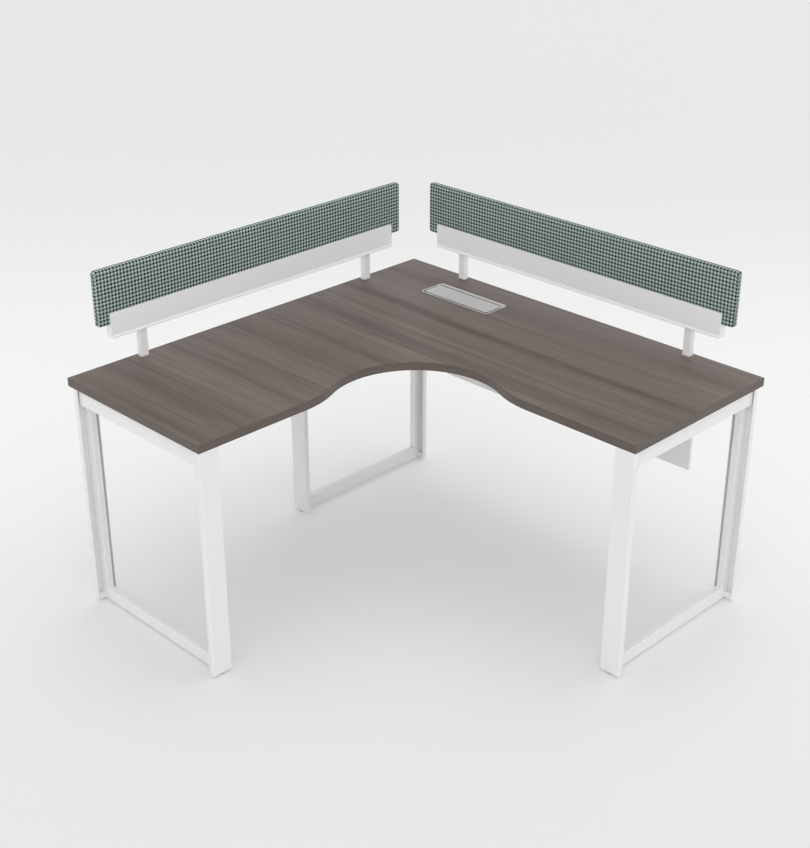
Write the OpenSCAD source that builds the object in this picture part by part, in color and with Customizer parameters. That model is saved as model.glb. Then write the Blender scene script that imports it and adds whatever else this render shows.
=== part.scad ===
// L-shaped office desk: one laminated top on three steel loop frames, with a
// modesty panel, a hinged cable port and two fabric screens on rails.
// Millimetres, +Z up. The origin is on the floor at the middle of the footprint;
// the main wing lies along the back (+Y), the return wing along the left (-X).

/* [Overall] */
// Length of the main wing along the back
desk_width = 1400; // [1300:10:1800]
// Length of the return wing along the left side
desk_depth = 1400; // [1300:10:1800]
// Depth of both wings, back edge to front edge
wing_depth = 600; // [560:10:640]
// Height of the worktop surface above the floor
top_height = 735; // [680:5:780]
// Thickness of the worktop
top_thickness = 25; // [22:1:30]
// Thickness of the edge band round the worktop
edge_thickness = 2; // [1:0.5:3]

/* [Front curve] */
// Radius of the hollow curve at the sitting place
curve_radius = 250; // [240:5:270]
// Distance of the curve centre in front of both wings
curve_setback = 200; // [180:5:220]
// Radius that blends the curve into the straight front edges
blend_radius = 285; // [200:5:300]

/* [Leg frames] */
// Width of a post across its frame
post_width = 65; // [62:1:68]
// Depth of a post along its frame
post_depth = 17; // [16:0.5:19]
// Sheet thickness of the post shell
post_wall = 2.5; // [2:0.5:3]
// Rounding of the bent post edges
post_edge_radius = 2.5; // [1:0.5:3]
// Distance of the rear posts from the back edge of the worktop
rear_inset = 25; // [15:1:28]
// Distance of the corner frame from the left edge of the worktop
corner_inset = 25; // [15:1:40]
// Width of the inner upright tube
upright_width = 20; // [18:0.5:21]
// Depth of the inner upright tube along its frame
upright_depth = 32; // [28:1:34]
// Distance of the inner tubes from the outer face of the frame
upright_inset = 25; // [24:0.5:26]
// Wall of the inner upright tube
upright_wall = 1.5; // [1.5:0.5:2.5]
// Width of the top rail
rail_width = 25; // [22:1:26]
// Height of the top rail
top_rail_height = 50; // [40:1:60]
// Height of the bottom rail
bottom_rail_height = 40; // [30:1:60]
// Wall of the rails and beams
rail_wall = 2; // [1.5:0.5:3]
// Rounding of the rail and beam edges
rail_edge_radius = 2; // [1:0.5:3]

/* [Levelling feet] */
// Gap between the floor and the posts with the feet wound in
foot_gap = 7; // [6:0.5:10]
// Diameter of the foot pad
pad_diameter = 16; // [14:0.5:17]
// Thickness of the foot pad
pad_thickness = 3.5; // [3:0.5:4]
// Diameter of the threaded stud
stud_diameter = 8; // [6:1:10]
// Diameter of the pin that turns in the pad
tail_diameter = 7; // [5:0.5:8]
// Depth of the turning pin in the pad
tail_depth = 2; // [1.5:0.1:2.5]
// Width across flats of the foot collar
collar_flats = 13; // [12:0.5:14]
// Height of the threaded block in each post
block_height = 20; // [18:1:30]
// Running clearance of turning and threaded parts
running_clearance = 0.05; // [0.02:0.01:0.1]

/* [Beams] */
// Width of a beam
beam_width = 25; // [20:1:30]
// Distance of the front beams behind the front edges
front_beam_inset = 150; // [140:5:180]
// Distance of the rear main beam in front of the rear uprights
rear_beam_gap = 33; // [32:1:34]
// Distance of the outer return beam from the left edge
outer_beam_inset = 150; // [140:5:180]
// Length of a beam end plate
end_plate_length = 60; // [56:1:64]
// Thickness of a beam end plate
end_plate_thickness = 3; // [2:0.5:4]
// Spacing of the two screws in an end plate
end_plate_screw_spacing = 42; // [40:1:44]

/* [Modesty panel] */
// Length of the panel
modesty_length = 1000; // [900:10:1050]
// Height of the panel below the worktop
modesty_drop = 334; // [250:2:400]
// Distance of its front face from the back edge
modesty_setback = 36; // [35:1:38]
// Sheet thickness
modesty_sheet = 1.5; // [1:0.5:2]
// Depth of the folded end and bottom edges
modesty_fold = 9; // [6:1:9]
// Depth of the top flange
modesty_flange = 22; // [18:1:24]

/* [Cable port] */
// Distance of the port from the left edge of the worktop
port_left = 233; // [180:1:400]
// Distance of the port from the back edge of the worktop
port_back = 104; // [102:1:108]
// Length of the port frame
port_length = 288; // [240:1:320]
// Width of the port frame
port_width = 102; // [90:1:110]
// Thickness of the frame flange on the worktop
port_flange = 1.5; // [1:0.5:2]
// Width of the flange at the front and ends
port_rim = 5; // [4:0.5:7]
// Width of the flange at the hinge side
port_back_rim = 14; // [12:0.5:18]
// Outer corner radius of the frame
port_corner_radius = 14; // [10:1:18]
// Wall of the frame sleeve
sleeve_wall = 2; // [1.5:0.5:2]
// Depth of the sleeve below the worktop surface
sleeve_depth = 36; // [34:1:45]
// Thickness of the lid
lid_thickness = 3; // [2.5:0.5:4]
// Gap round the lid, where the cables come out
lid_gap = 4; // [3:0.5:5]
// Gap behind the lid hinge edge
lid_back_gap = 0.6; // [0.5:0.1:1]
// Share of the lid length that the hinge knuckle takes
knuckle_share = 0.92; // [0.8:0.02:0.94]
// Diameter of the hinge pin
pin_diameter = 3; // [2.5:0.1:3.4]
// Wall of the knuckle round the pin
knuckle_wall = 1.2; // [1:0.1:1.5]
// Width of the ledges that the closed lid rests on
ledge_width = 8; // [7:0.5:10]
// Thickness of the ledges
ledge_thickness = 2; // [1.5:0.5:3]
// Height of the bristles in the front gap
bristle_height = 10; // [8:1:14]
// Height of the bristle holder
bristle_base_height = 5; // [4:0.5:8]
// Thickness of a bristle
bristle_width = 0.6; // [0.4:0.1:0.7]
// Number of bristles in each of the two rows
bristle_count = 150; // [150:10:180]

/* [Screens] */
// Length of a screen
screen_length = 1200; // [1000:10:1200]
// Height of the fabric panel
panel_height = 168; // [140:2:300]
// Thickness of the fabric panel
panel_thickness = 20; // [18:1:22]
// Thickness of the fabric and its backing
cover_thickness = 2; // [1.5:0.5:3]
// Corner radius of the panel seen from the front
panel_corner_radius = 10; // [6:1:20]
// Rounding of the panel edges
panel_edge_radius = 5; // [3:0.5:7]
// Height of the panel bottom above the worktop
panel_clearance = 130; // [120:2:150]
// Distance of the screen middle plane from the worktop edge
screen_inset = 20; // [19:1:20]
// Length of the screen rail
screen_rail_length = 1120; // [900:10:1120]
// Height of the screen rail
screen_rail_height = 77; // [70:1:84]
// Rounding of the upper end corners of the screen rail
screen_rail_radius = 6; // [4:1:8]
// Wall of the screen rail
screen_rail_wall = 3; // [2:0.5:3]
// Height of the screen rail bottom above the worktop
screen_rail_clearance = 88; // [80:2:100]
// Height of the proud lip at the foot of the rail
screen_lip_height = 9; // [6:1:12]
// Height of the upright foot of the lip, below its slope
screen_lip_foot = 3; // [2:0.5:5]
// Amount the lip stands proud
screen_lip_depth = 2.5; // [1.5:0.5:3]
// Spacing of the two posts under a screen
screen_post_spacing = 900; // [700:10:960]
// Width of a screen post along the screen
screen_post_width = 27; // [24:1:30]
// Depth of a screen post across the screen
screen_post_depth = 20; // [18:1:22]
// Corner radius of a screen post
screen_post_radius = 4; // [2:0.5:6]
// Height of the plastic shoe under a screen post
shoe_height = 4; // [3:0.5:6]
// Amount the shoe stands out round the post
shoe_margin = 1; // [0.5:0.5:2]

/* [Fasteners] */
// Diameter of the frame and worktop screws
screw_diameter = 6; // [5:0.5:6]
// Head diameter of the frame and worktop screws
screw_head_diameter = 11; // [10:0.5:12]
// Head height of the frame and worktop screws
screw_head_height = 3.5; // [3:0.5:4]
// Clearance round a screw in its hole
screw_clearance = 0.4; // [0.3:0.1:0.5]
// Depth of a screw in the worktop
screw_bite = 16; // [12:1:18]
// Diameter of the driver holes under the rails and beams
driver_hole_diameter = 13; // [13:0.5:15]
// Diameter of the small port and screen screws
small_screw_diameter = 4; // [3:0.5:4]
// Head diameter of the small screws
small_head_diameter = 7.5; // [6:0.5:8]
// Head height of the small screws
small_head_height = 2.2; // [2:0.1:2.6]

/* [Quality] */
// Facets of round parts in the preview
facets = 48; // [24:4:96]

/* [Hidden] */
$fn = facets;

left_x = -desk_width / 2;
right_x = desk_width / 2;
back_y = desk_depth / 2;
front_y = -desk_depth / 2;
under_z = top_height - top_thickness;
main_front_y = back_y - wing_depth;
return_front_x = left_x + wing_depth;
overcut = top_thickness;

// Front curve, measured from the back left corner of the worktop.
curve_centre = wing_depth + curve_setback;
blend_offset = sqrt(pow(curve_radius + blend_radius, 2) - pow(curve_setback + blend_radius, 2));
blend_far = curve_centre + blend_offset;
blend_near = wing_depth - blend_radius;

// Frames: a runs along the frame, n runs inwards from its outer face.
frame_span = wing_depth - rear_inset;
mid_n = post_width / 2;
foot_a = post_depth / 2;
block_top = foot_gap + block_height;
top_rail_z = under_z - top_rail_height;
top_rail_n = mid_n - rail_width;
corner_outer_x = left_x + corner_inset + post_width;
rail_screw_spread = wing_depth / 4;
collar_height = foot_gap - pad_thickness;

// Beams hang between the inner faces of the top rails.
beam_z = top_rail_z;
rail_screw_n = top_rail_n + rail_width / 2;
main_beam_left = corner_outer_x - top_rail_n;
main_beam_right = right_x - mid_n;
main_front_beam_y = main_front_y + front_beam_inset;
upright_reach = post_wall + upright_depth;
main_rear_beam_y = back_y - rear_inset - upright_reach - rear_beam_gap;
return_beam_front = front_y + mid_n;
return_beam_back = main_front_beam_y - beam_width / 2;
return_inner_beam_x = return_front_x - front_beam_inset;
return_outer_beam_x = left_x + outer_beam_inset;
beam_screw_z = beam_z + top_rail_height / 2;
beam_screw_length = end_plate_thickness + 3 * rail_wall;
main_screw_shares = [0.15, 0.5, 0.85];
return_screw_shares = [0.25, 0.75];

// Modesty panel.
modesty_y = back_y - modesty_setback;
modesty_z = under_z - modesty_drop;
modesty_screw_y = modesty_y - modesty_flange / 2 + modesty_sheet;
modesty_screw_shares = [-0.45, -0.15, 0.15, 0.45];

// Cable port.
port_x = left_x + port_left + port_length / 2;
port_front_y = back_y - port_back - port_width;
port_back_y = back_y - port_back;
port_top = top_height + port_flange;
well_length = port_length - 2 * port_rim;
well_front_y = port_front_y + port_rim;
well_back_y = port_back_y - port_back_rim;
well_width = well_back_y - well_front_y;
well_radius = port_corner_radius - port_rim;
sleeve_radius = well_radius + sleeve_wall;
sleeve_z = top_height - sleeve_depth;
cutout_clearance = screw_clearance;
lid_length = well_length - 2 * lid_gap;
lid_front_y = well_front_y + lid_gap;
lid_back_y = well_back_y - lid_back_gap;
lid_z = port_top - lid_thickness;
lid_radius = port_corner_radius - port_rim / 2;
lid_back_radius = lid_thickness / 2;
lug_gap = cutout_clearance;
knuckle_radius = pin_diameter / 2 + knuckle_wall;
hinge_drop = knuckle_radius + lug_gap;
swing_radius = lid_thickness + hinge_drop;
pin_y = lid_back_y - swing_radius;
pin_z = lid_z - hinge_drop;
knuckle_length = lid_length * knuckle_share;
lug_inner = lid_length / 2 + lug_gap;
lug_front_y = pin_y - swing_radius;
ledge_back_y = lug_front_y - lug_gap;
bristle_length = well_length - 2 * port_corner_radius;
bristle_pitch = bristle_length / bristle_count;
bristle_thick = lid_gap - 2 * cutout_clearance;
bristle_top = port_top - cutout_clearance;
bristle_base_z = bristle_top - bristle_height - bristle_base_height;
clamp_leg = under_z - sleeve_z;
clamp_reach = clamp_leg * 2;
clamp_thickness = end_plate_thickness;
clamp_length = well_width * 2 / 3;
clamp_screw_z = sleeve_z + (clamp_leg - clamp_thickness) / 2;
clamp_screw_spacing = clamp_length / 2;
clamp_screw_length = sleeve_wall + clamp_thickness + small_head_height;
sleeve_outer_x = well_length / 2 + sleeve_wall;

// Screens.
panel_z = top_height + panel_clearance;
rail_bottom_z = top_height + screen_rail_clearance;
screen_rail_depth = panel_thickness + 2 * screen_rail_wall;
core_height = panel_height - 2 * cover_thickness;
core_length = screen_length - 2 * cover_thickness;
core_thickness = panel_thickness - 2 * cover_thickness;
core_radius = panel_corner_radius - cover_thickness;
screen_post_height = screen_rail_clearance - shoe_height;
bolt_reach = 2 * screw_head_diameter;
panel_screw_z = panel_z + (rail_bottom_z + screen_rail_height - panel_z) / 2;
panel_screw_length = core_thickness / 2;
rail_screw_length = 3 * small_screw_diameter + screen_rail_wall;
panel_screw_shares = [-0.42, -0.14, 0.14, 0.42];

white_paint = "WhiteSmoke";
silver = "Silver";
steel = "DimGray";
green_cloth = "CadetBlue";

// Flat rectangle with rounded corners, its first corner at the origin.
module round_rect(w, h, r) {
  translate([r, 0]) square([w - 2 * r, h]);
  translate([0, r]) square([w, h - 2 * r]);
  for (x = [r, w - r]) for (y = [r, h - r]) translate([x, y]) circle(r);
}

// The same with one radius for the two front corners and one for the two back ones.
module port_rect(w, h, front_r, back_r) {
  translate([front_r, 0]) square([w - 2 * front_r, h - back_r]);
  translate([0, front_r]) square([w, h - front_r - back_r]);
  translate([back_r, front_r]) square([w - 2 * back_r, h - front_r]);
  for (x = [front_r, w - front_r]) translate([x, front_r]) circle(front_r);
  for (x = [back_r, w - back_r]) translate([x, h - back_r]) circle(back_r);
}

// Section of a rectangular tube.
module tube_section(w, h, wall, r) {
  difference() {
    round_rect(w, h, r);
    translate([wall, wall]) square([w - 2 * wall, h - 2 * wall]);
  }
}

// Turns a flat section so that it runs along X from the origin.
module run_x(length) {
  rotate([90, 0, 90]) linear_extrude(length) children();
}

// Turns a flat section so that it runs along -Y from the origin.
module run_y(length) {
  rotate([90, 0, 0]) linear_extrude(length) children();
}

// Screw standing upright: the head under z = 0, the shank above it.
module screw_up(diameter, length, head_diameter, head_height) {
  translate([0, 0, -head_height]) cylinder(d = head_diameter, h = head_height);
  cylinder(d = diameter, h = length);
}

// Region cut out of the L by the front curve and its two blends.
module bite(inset) {
  translate([curve_centre, -curve_centre]) circle(curve_radius + inset);
  difference() {
    polygon([[curve_centre, -curve_centre], [blend_far, -blend_near], [blend_far, inset - wing_depth]]);
    translate([blend_far, -blend_near]) circle(blend_radius - inset);
  }
  difference() {
    polygon([[curve_centre, -curve_centre], [blend_near, -blend_far], [wing_depth - inset, -blend_far]]);
    translate([blend_near, -blend_far]) circle(blend_radius - inset);
  }
}

// Outline of the worktop, drawn in by an inset.
module top_outline(inset) {
  translate([left_x, back_y]) difference() {
    union() {
      translate([inset, inset - wing_depth])
        square([desk_width - 2 * inset, wing_depth - 2 * inset]);
      translate([inset, inset - desk_depth])
        square([wing_depth - 2 * inset, desk_depth - 2 * inset]);
      translate([wing_depth - inset, -curve_centre])
        square([curve_setback + inset, curve_setback + inset]);
    }
    bite(inset);
  }
}

// Frame places: the right and corner frames look to +X, the left one to -Y.
module at_right() { translate([right_x, main_front_y, 0]) rotate([0, 0, 90]) children(); }
module at_corner() { translate([corner_outer_x, main_front_y, 0]) rotate([0, 0, 90]) children(); }
module at_left() { translate([left_x + rear_inset, front_y, 0]) children(); }

// Spots of the worktop screws in a frame rail.
module rail_spots() {
  for (s = [-1, 1]) translate([frame_span / 2 + s * rail_screw_spread / 2, rail_screw_n, 0]) children();
}

// Spots of the worktop screws in the beams.
module beam_spots() {
  for (s = main_screw_shares) for (y = [main_front_beam_y, main_rear_beam_y])
    translate([main_beam_left + s * (main_beam_right - main_beam_left), y, 0]) children();
  for (s = return_screw_shares) for (x = [return_inner_beam_x, return_outer_beam_x])
    translate([x, return_beam_front + s * (return_beam_back - return_beam_front), 0]) children();
}

// Spots of the four screen posts.
module right_screen_spots() {
  for (s = [-1, 1]) translate([s * screen_post_spacing / 2, back_y - screen_inset, 0]) children();
}
module left_screen_spots() {
  for (s = [-1, 1]) translate([left_x + screen_inset, s * screen_post_spacing / 2, 0])
    rotate([0, 0, 90]) children();
}

// Spots of the modesty panel screws.
module modesty_spots() {
  for (s = modesty_screw_shares) translate([s * modesty_length, modesty_screw_y, 0]) children();
}

// Board of the worktop with the port cut-out and the holes for its screws.
module worktop() {
  color("RosyBrown") difference() {
    translate([0, 0, under_z]) linear_extrude(top_thickness) top_outline(edge_thickness);
    translate([port_x - sleeve_outer_x - cutout_clearance,
        well_front_y - sleeve_wall - cutout_clearance, under_z - overcut])
      linear_extrude(3 * overcut)
        port_rect(2 * (sleeve_outer_x + cutout_clearance), well_width + 2 * (sleeve_wall + cutout_clearance),
          sleeve_radius + cutout_clearance, sleeve_wall + cutout_clearance);
    translate([0, 0, under_z - overcut]) {
      for_all_screws() cylinder(d = screw_diameter + 2 * screw_clearance, h = overcut + screw_bite
        + screw_clearance);
      right_screen_spots() cylinder(d = screw_diameter + 2 * screw_clearance, h = 3 * overcut);
      left_screen_spots() cylinder(d = screw_diameter + 2 * screw_clearance, h = 3 * overcut);
    }
  }
}
module for_all_screws() {
  at_left() rail_spots() children();
  at_corner() rail_spots() children();
  at_right() rail_spots() children();
  beam_spots() children();
  modesty_spots() children();
}

// Band glued round the edge of the board.
module edge_band() {
  color("DimGray") translate([0, 0, under_z]) linear_extrude(top_thickness) difference() {
    top_outline(0);
    top_outline(edge_thickness);
  }
}

// Bent post shell, open towards the inside of the frame.
module post_shell() {
  color(white_paint) translate([0, 0, foot_gap]) linear_extrude(under_z - foot_gap) difference() {
    union() {
      translate([0, post_edge_radius]) square([post_depth, post_width - 2 * post_edge_radius]);
      translate([post_edge_radius, 0]) square([post_depth - post_edge_radius, post_width]);
      for (y = [post_edge_radius, post_width - post_edge_radius])
        translate([post_edge_radius, y]) circle(post_edge_radius);
    }
    translate([post_wall, post_wall]) square([post_depth, post_width - 2 * post_wall]);
  }
}
module far_post_shell() {
  translate([frame_span, post_width, 0]) rotate([0, 0, 180]) post_shell();
}

// Inner upright tube against the web of its post, standing on the threaded block.
module upright(a) {
  color(white_paint) translate([a, upright_inset, block_top]) linear_extrude(under_z - block_top)
    tube_section(upright_depth, upright_width, upright_wall, upright_wall / 2);
}
module near_upright() { upright(post_wall); }
module far_upright() { upright(frame_span - upright_reach); }

// Top rail between the shells, in the outer half of the frame, coped round the uprights.
module top_rail() {
  color(white_paint) difference() {
    translate([post_wall, top_rail_n, top_rail_z]) run_x(frame_span - 2 * post_wall)
      tube_section(rail_width, top_rail_height, rail_wall, rail_edge_radius);
    for (a = [-overcut, frame_span - upright_reach]) translate([a, upright_inset, top_rail_z - overcut])
      cube([upright_reach + overcut, upright_width, top_rail_height + 2 * overcut]);
    translate([0, 0, under_z - rail_wall - overcut]) rail_spots()
      cylinder(d = screw_diameter + 2 * screw_clearance, h = 2 * overcut);
    translate([0, 0, top_rail_z - overcut]) rail_spots()
      cylinder(d = driver_hole_diameter, h = overcut + 2 * rail_wall);
  }
}

// Bottom rail between the uprights and as wide as they are.
module bottom_rail() {
  color(white_paint) translate([upright_reach, upright_inset, foot_gap])
    run_x(frame_span - 2 * upright_reach)
      tube_section(upright_width, bottom_rail_height, rail_wall, rail_edge_radius);
}

// Holes for the end plate screws, bored along +X through a rail wall.
module plate_holes(depth) {
  for (s = [-1, 1]) translate([-depth, s * end_plate_screw_spacing / 2, beam_screw_z]) rotate([0, 90, 0])
    cylinder(d = screw_diameter + 2 * screw_clearance, h = 2 * depth);
}

// Threaded block that carries a foot, one in each post, with a tongue under the upright.
module foot_block(a) {
  translate([a, post_wall, foot_gap]) difference() {
    union() {
      cube([post_depth - post_wall, post_width - 2 * post_wall, block_height]);
      translate([0, upright_inset - post_wall, 0]) cube([upright_depth, upright_width, block_height]);
    }
    translate([foot_a - post_wall, mid_n - post_wall, -block_height])
      cylinder(d = stud_diameter + 2 * running_clearance, h = 3 * block_height);
  }
}
module far_foot_block() {
  translate([frame_span, 0, 0]) mirror([1, 0, 0]) foot_block(post_wall);
}
module foot_blocks() {
  color(white_paint) {
    at_left() { foot_block(post_wall); far_foot_block(); }
    at_corner() { foot_block(post_wall); far_foot_block(); }
    at_right() { foot_block(post_wall); far_foot_block(); }
  }
}

// Foot pad with the hole that its stud turns in.
module pad() {
  color("LightGray") translate([foot_a, mid_n, 0]) difference() {
    cylinder(d = pad_diameter, h = pad_thickness);
    translate([0, 0, pad_thickness - tail_depth])
      cylinder(d = tail_diameter + 2 * running_clearance, h = pad_thickness);
  }
}

// Threaded stud with its hexagon collar and turning pin.
module stud() {
  color(silver) translate([foot_a, mid_n, 0]) {
    translate([0, 0, pad_thickness - tail_depth]) cylinder(d = tail_diameter, h = tail_depth);
    translate([0, 0, pad_thickness])
      cylinder(d = collar_flats / cos(30), h = collar_height, $fn = 6);
    translate([0, 0, foot_gap]) cylinder(d = stud_diameter, h = block_height);
  }
}
module to_far() { translate([frame_span - post_depth, 0, 0]) children(); }

// Beam running along X between two end plates.
module main_beam(y) {
  length = main_beam_right - main_beam_left - 2 * end_plate_thickness;
  translate([main_beam_left + end_plate_thickness, y - beam_width / 2, beam_z])
    run_x(length) tube_section(beam_width, top_rail_height, rail_wall, rail_edge_radius);
}

// Beam running along Y between two end plates.
module return_beam(x) {
  length = return_beam_back - return_beam_front - 2 * end_plate_thickness;
  translate([x - beam_width / 2, return_beam_back - end_plate_thickness, beam_z])
    run_y(length) tube_section(beam_width, top_rail_height, rail_wall, rail_edge_radius);
}

// Screw holes up through the beams.
module beam_holes() {
  translate([0, 0, under_z - rail_wall - overcut]) beam_spots()
    cylinder(d = screw_diameter + 2 * screw_clearance, h = 2 * overcut);
  translate([0, 0, beam_z - overcut]) beam_spots()
    cylinder(d = driver_hole_diameter, h = overcut + 2 * rail_wall);
}

// Places of the eight beam ends; +X points from the plate into the rail.
module main_beam_ends() {
  for (y = [main_front_beam_y, main_rear_beam_y]) {
    translate([main_beam_left, y, 0]) rotate([0, 0, 180]) children();
    translate([main_beam_right, y, 0]) children();
  }
}
module return_beam_ends() {
  for (x = [return_inner_beam_x, return_outer_beam_x]) {
    translate([x, return_beam_front, 0]) rotate([0, 0, -90]) children();
    translate([x, return_beam_back, 0]) rotate([0, 0, 90]) children();
  }
}

module main_front_beam() {
  color(white_paint) difference() {
    main_beam(main_front_beam_y);
    beam_holes();
    return_beam_ends() plate_holes(2 * end_plate_thickness);
  }
}
module main_rear_beam() {
  color(white_paint) difference() { main_beam(main_rear_beam_y); beam_holes(); }
}
module return_inner_beam() {
  color(white_paint) difference() { return_beam(return_inner_beam_x); beam_holes(); }
}
module return_outer_beam() {
  color(white_paint) difference() { return_beam(return_outer_beam_x); beam_holes(); }
}

// Plates welded to the beam ends.
module end_plate() {
  difference() {
    translate([-end_plate_thickness, -end_plate_length / 2, beam_z])
      cube([end_plate_thickness, end_plate_length, top_rail_height]);
    plate_holes(2 * end_plate_thickness);
  }
}
module beam_end_plates() {
  color(white_paint) { main_beam_ends() end_plate(); return_beam_ends() end_plate(); }
}

// Screws that hold the end plates to the rails.
module end_screws() {
  for (s = [-1, 1]) translate([-end_plate_thickness, s * end_plate_screw_spacing / 2, beam_screw_z])
    rotate([0, 90, 0]) screw_up(screw_diameter, beam_screw_length, screw_head_diameter, screw_head_height);
}
module beam_screws() {
  color(steel) { main_beam_ends() end_screws(); return_beam_ends() end_screws(); }
}

// Frame rails with the holes for the beams that meet them.
module left_top_rail() {
  color(white_paint) difference() { at_left() top_rail(); return_beam_ends() plate_holes(2 * end_plate_thickness); }
}
module corner_top_rail() {
  color(white_paint) difference() { at_corner() top_rail(); main_beam_ends() plate_holes(2 * end_plate_thickness); }
}
module right_top_rail() {
  color(white_paint) difference() { at_right() top_rail(); main_beam_ends() plate_holes(2 * end_plate_thickness); }
}

// Screws up through the rails and beams into the worktop.
module worktop_screw() {
  translate([0, 0, under_z - rail_wall])
    screw_up(screw_diameter, rail_wall + screw_bite, screw_head_diameter, screw_head_height);
}
module worktop_screws() {
  color(steel) {
    at_left() rail_spots() worktop_screw();
    at_corner() rail_spots() worktop_screw();
    at_right() rail_spots() worktop_screw();
    beam_spots() worktop_screw();
  }
}

// Folded sheet that hangs under the back of the main wing.
module modesty_panel() {
  half = modesty_length / 2;
  color(white_paint) difference() {
    union() {
      translate([-half, modesty_y, modesty_z]) cube([modesty_length, modesty_sheet, modesty_drop]);
      translate([-half, modesty_y + modesty_sheet - modesty_flange, under_z - modesty_sheet])
        cube([modesty_length, modesty_flange, modesty_sheet]);
      translate([-half, modesty_y, modesty_z]) cube([modesty_length, modesty_fold, modesty_sheet]);
      for (x = [-half, half - modesty_sheet]) translate([x, modesty_y, modesty_z])
        cube([modesty_sheet, modesty_fold, modesty_drop]);
    }
    translate([0, 0, under_z - overcut]) modesty_spots()
      cylinder(d = screw_diameter + 2 * screw_clearance, h = 2 * overcut);
  }
}
module modesty_screws() {
  color(steel) translate([0, 0, under_z - modesty_sheet]) modesty_spots()
    screw_up(screw_diameter, modesty_sheet + screw_bite, screw_head_diameter, screw_head_height);
}

// Port frame: flange, sleeve, ledges under the lid, and hinge lugs beside its back corners.
module port_well() {
  translate([0, well_radius]) square([well_length, well_width - well_radius]);
  translate([well_radius, 0]) square([well_length - 2 * well_radius, well_width]);
  for (x = [well_radius, well_length - well_radius]) translate([x, well_radius]) circle(well_radius);
}
module port_frame() {
  color(silver) difference() {
    union() {
      translate([port_x - port_length / 2, port_front_y, top_height]) linear_extrude(port_flange)
        round_rect(port_length, port_width, port_corner_radius);
      translate([port_x - sleeve_outer_x, well_front_y - sleeve_wall, sleeve_z])
        linear_extrude(sleeve_depth)
          port_rect(2 * sleeve_outer_x, well_width + 2 * sleeve_wall, sleeve_radius, sleeve_wall);
    }
    difference() {
      translate([port_x - well_length / 2, well_front_y, sleeve_z - overcut])
        linear_extrude(3 * sleeve_depth) port_well();
      for (x = [-sleeve_outer_x, well_length / 2 - ledge_width])
        translate([port_x + x, well_front_y - sleeve_wall, lid_z - ledge_thickness])
          cube([ledge_width + sleeve_wall, ledge_back_y - well_front_y + sleeve_wall, ledge_thickness]);
      for (x = [-sleeve_outer_x, lug_inner])
        translate([port_x + x, lug_front_y, pin_z - knuckle_radius])
          cube([sleeve_outer_x - lug_inner, well_back_y + sleeve_wall - lug_front_y,
            port_top - pin_z + knuckle_radius]);
    }
    translate([port_x - sleeve_outer_x - sleeve_wall, pin_y, pin_z]) rotate([0, 90, 0])
      cylinder(d = pin_diameter + 2 * running_clearance, h = 2 * (sleeve_outer_x + sleeve_wall));
    for (s = [-1, 1]) for (y = [-1, 1])
      translate([port_x + s * (sleeve_outer_x - sleeve_wall / 2) - sleeve_wall,
          well_front_y + (well_width + y * clamp_screw_spacing) / 2, clamp_screw_z])
        rotate([0, 90, 0])
          cylinder(d = small_screw_diameter + 2 * screw_clearance, h = 2 * sleeve_wall);
  }
}

// Lid with the knuckle along its hinge edge; its back edge is round about the pin.
module port_lid() {
  color(silver) difference() {
    union() {
      intersection() {
        translate([port_x - lid_length / 2, lid_front_y, lid_z]) linear_extrude(lid_thickness)
          port_rect(lid_length, lid_back_y - lid_front_y, lid_radius, lid_back_radius);
        translate([port_x - lid_length / 2, pin_y, pin_z]) run_x(lid_length) {
          translate([lid_front_y - pin_y, 0]) square([pin_y - lid_front_y, swing_radius]);
          circle(swing_radius);
        }
      }
      translate([port_x - knuckle_length / 2, pin_y, pin_z]) {
        rotate([0, 90, 0]) cylinder(r = knuckle_radius, h = knuckle_length);
        translate([0, -knuckle_radius, 0]) cube([knuckle_length, 2 * knuckle_radius, hinge_drop]);
      }
    }
    translate([port_x - lid_length / 2, pin_y, pin_z]) rotate([0, 90, 0])
      cylinder(d = pin_diameter + 2 * running_clearance, h = lid_length);
  }
}

// Pin that the lid turns on, held in the two lugs.
module port_hinge_pin() {
  color(steel) translate([port_x - well_length / 2, pin_y, pin_z]) rotate([0, 90, 0])
    cylinder(d = pin_diameter, h = well_length);
}

// Brush strip behind the front wall of the port, two staggered rows of bristles.
module port_brush() {
  color("Black") translate([port_x - bristle_length / 2, well_front_y, bristle_base_z]) {
    cube([bristle_length, bristle_thick, bristle_base_height]);
    for (row = [0, 1]) for (i = [0:bristle_count - 1])
      translate([(i + 0.25 + row / 2) * bristle_pitch - bristle_width / 2,
          (1 + row) * bristle_thick / 3 - bristle_width / 2, bristle_base_height])
        cube([bristle_width, bristle_width, bristle_height]);
  }
}

// Angle clamps that pull the port frame down from under the worktop.
module port_clamps() {
  color(silver) for (s = [-1, 1])
    translate([port_x + s * sleeve_outer_x, well_front_y + (well_width - clamp_length) / 2, 0])
      difference() {
        union() {
          translate([s > 0 ? 0 : -clamp_reach, 0, under_z - clamp_thickness])
            cube([clamp_reach, clamp_length, clamp_thickness]);
          translate([s > 0 ? 0 : -clamp_thickness, 0, sleeve_z])
            cube([clamp_thickness, clamp_length, clamp_leg]);
        }
        for (y = [-1, 1])
          translate([-clamp_reach, (clamp_length + y * clamp_screw_spacing) / 2, clamp_screw_z])
            rotate([0, 90, 0])
              cylinder(d = small_screw_diameter + 2 * screw_clearance, h = 2 * clamp_reach);
      }
}
module port_clamp_screws() {
  color(steel) for (s = [-1, 1]) for (y = [-1, 1])
    translate([port_x + s * well_length / 2, well_front_y + (well_width + y * clamp_screw_spacing) / 2,
        clamp_screw_z]) rotate([0, s * 90, 0])
      screw_up(small_screw_diameter, clamp_screw_length, small_head_diameter, small_head_height);
}

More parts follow.
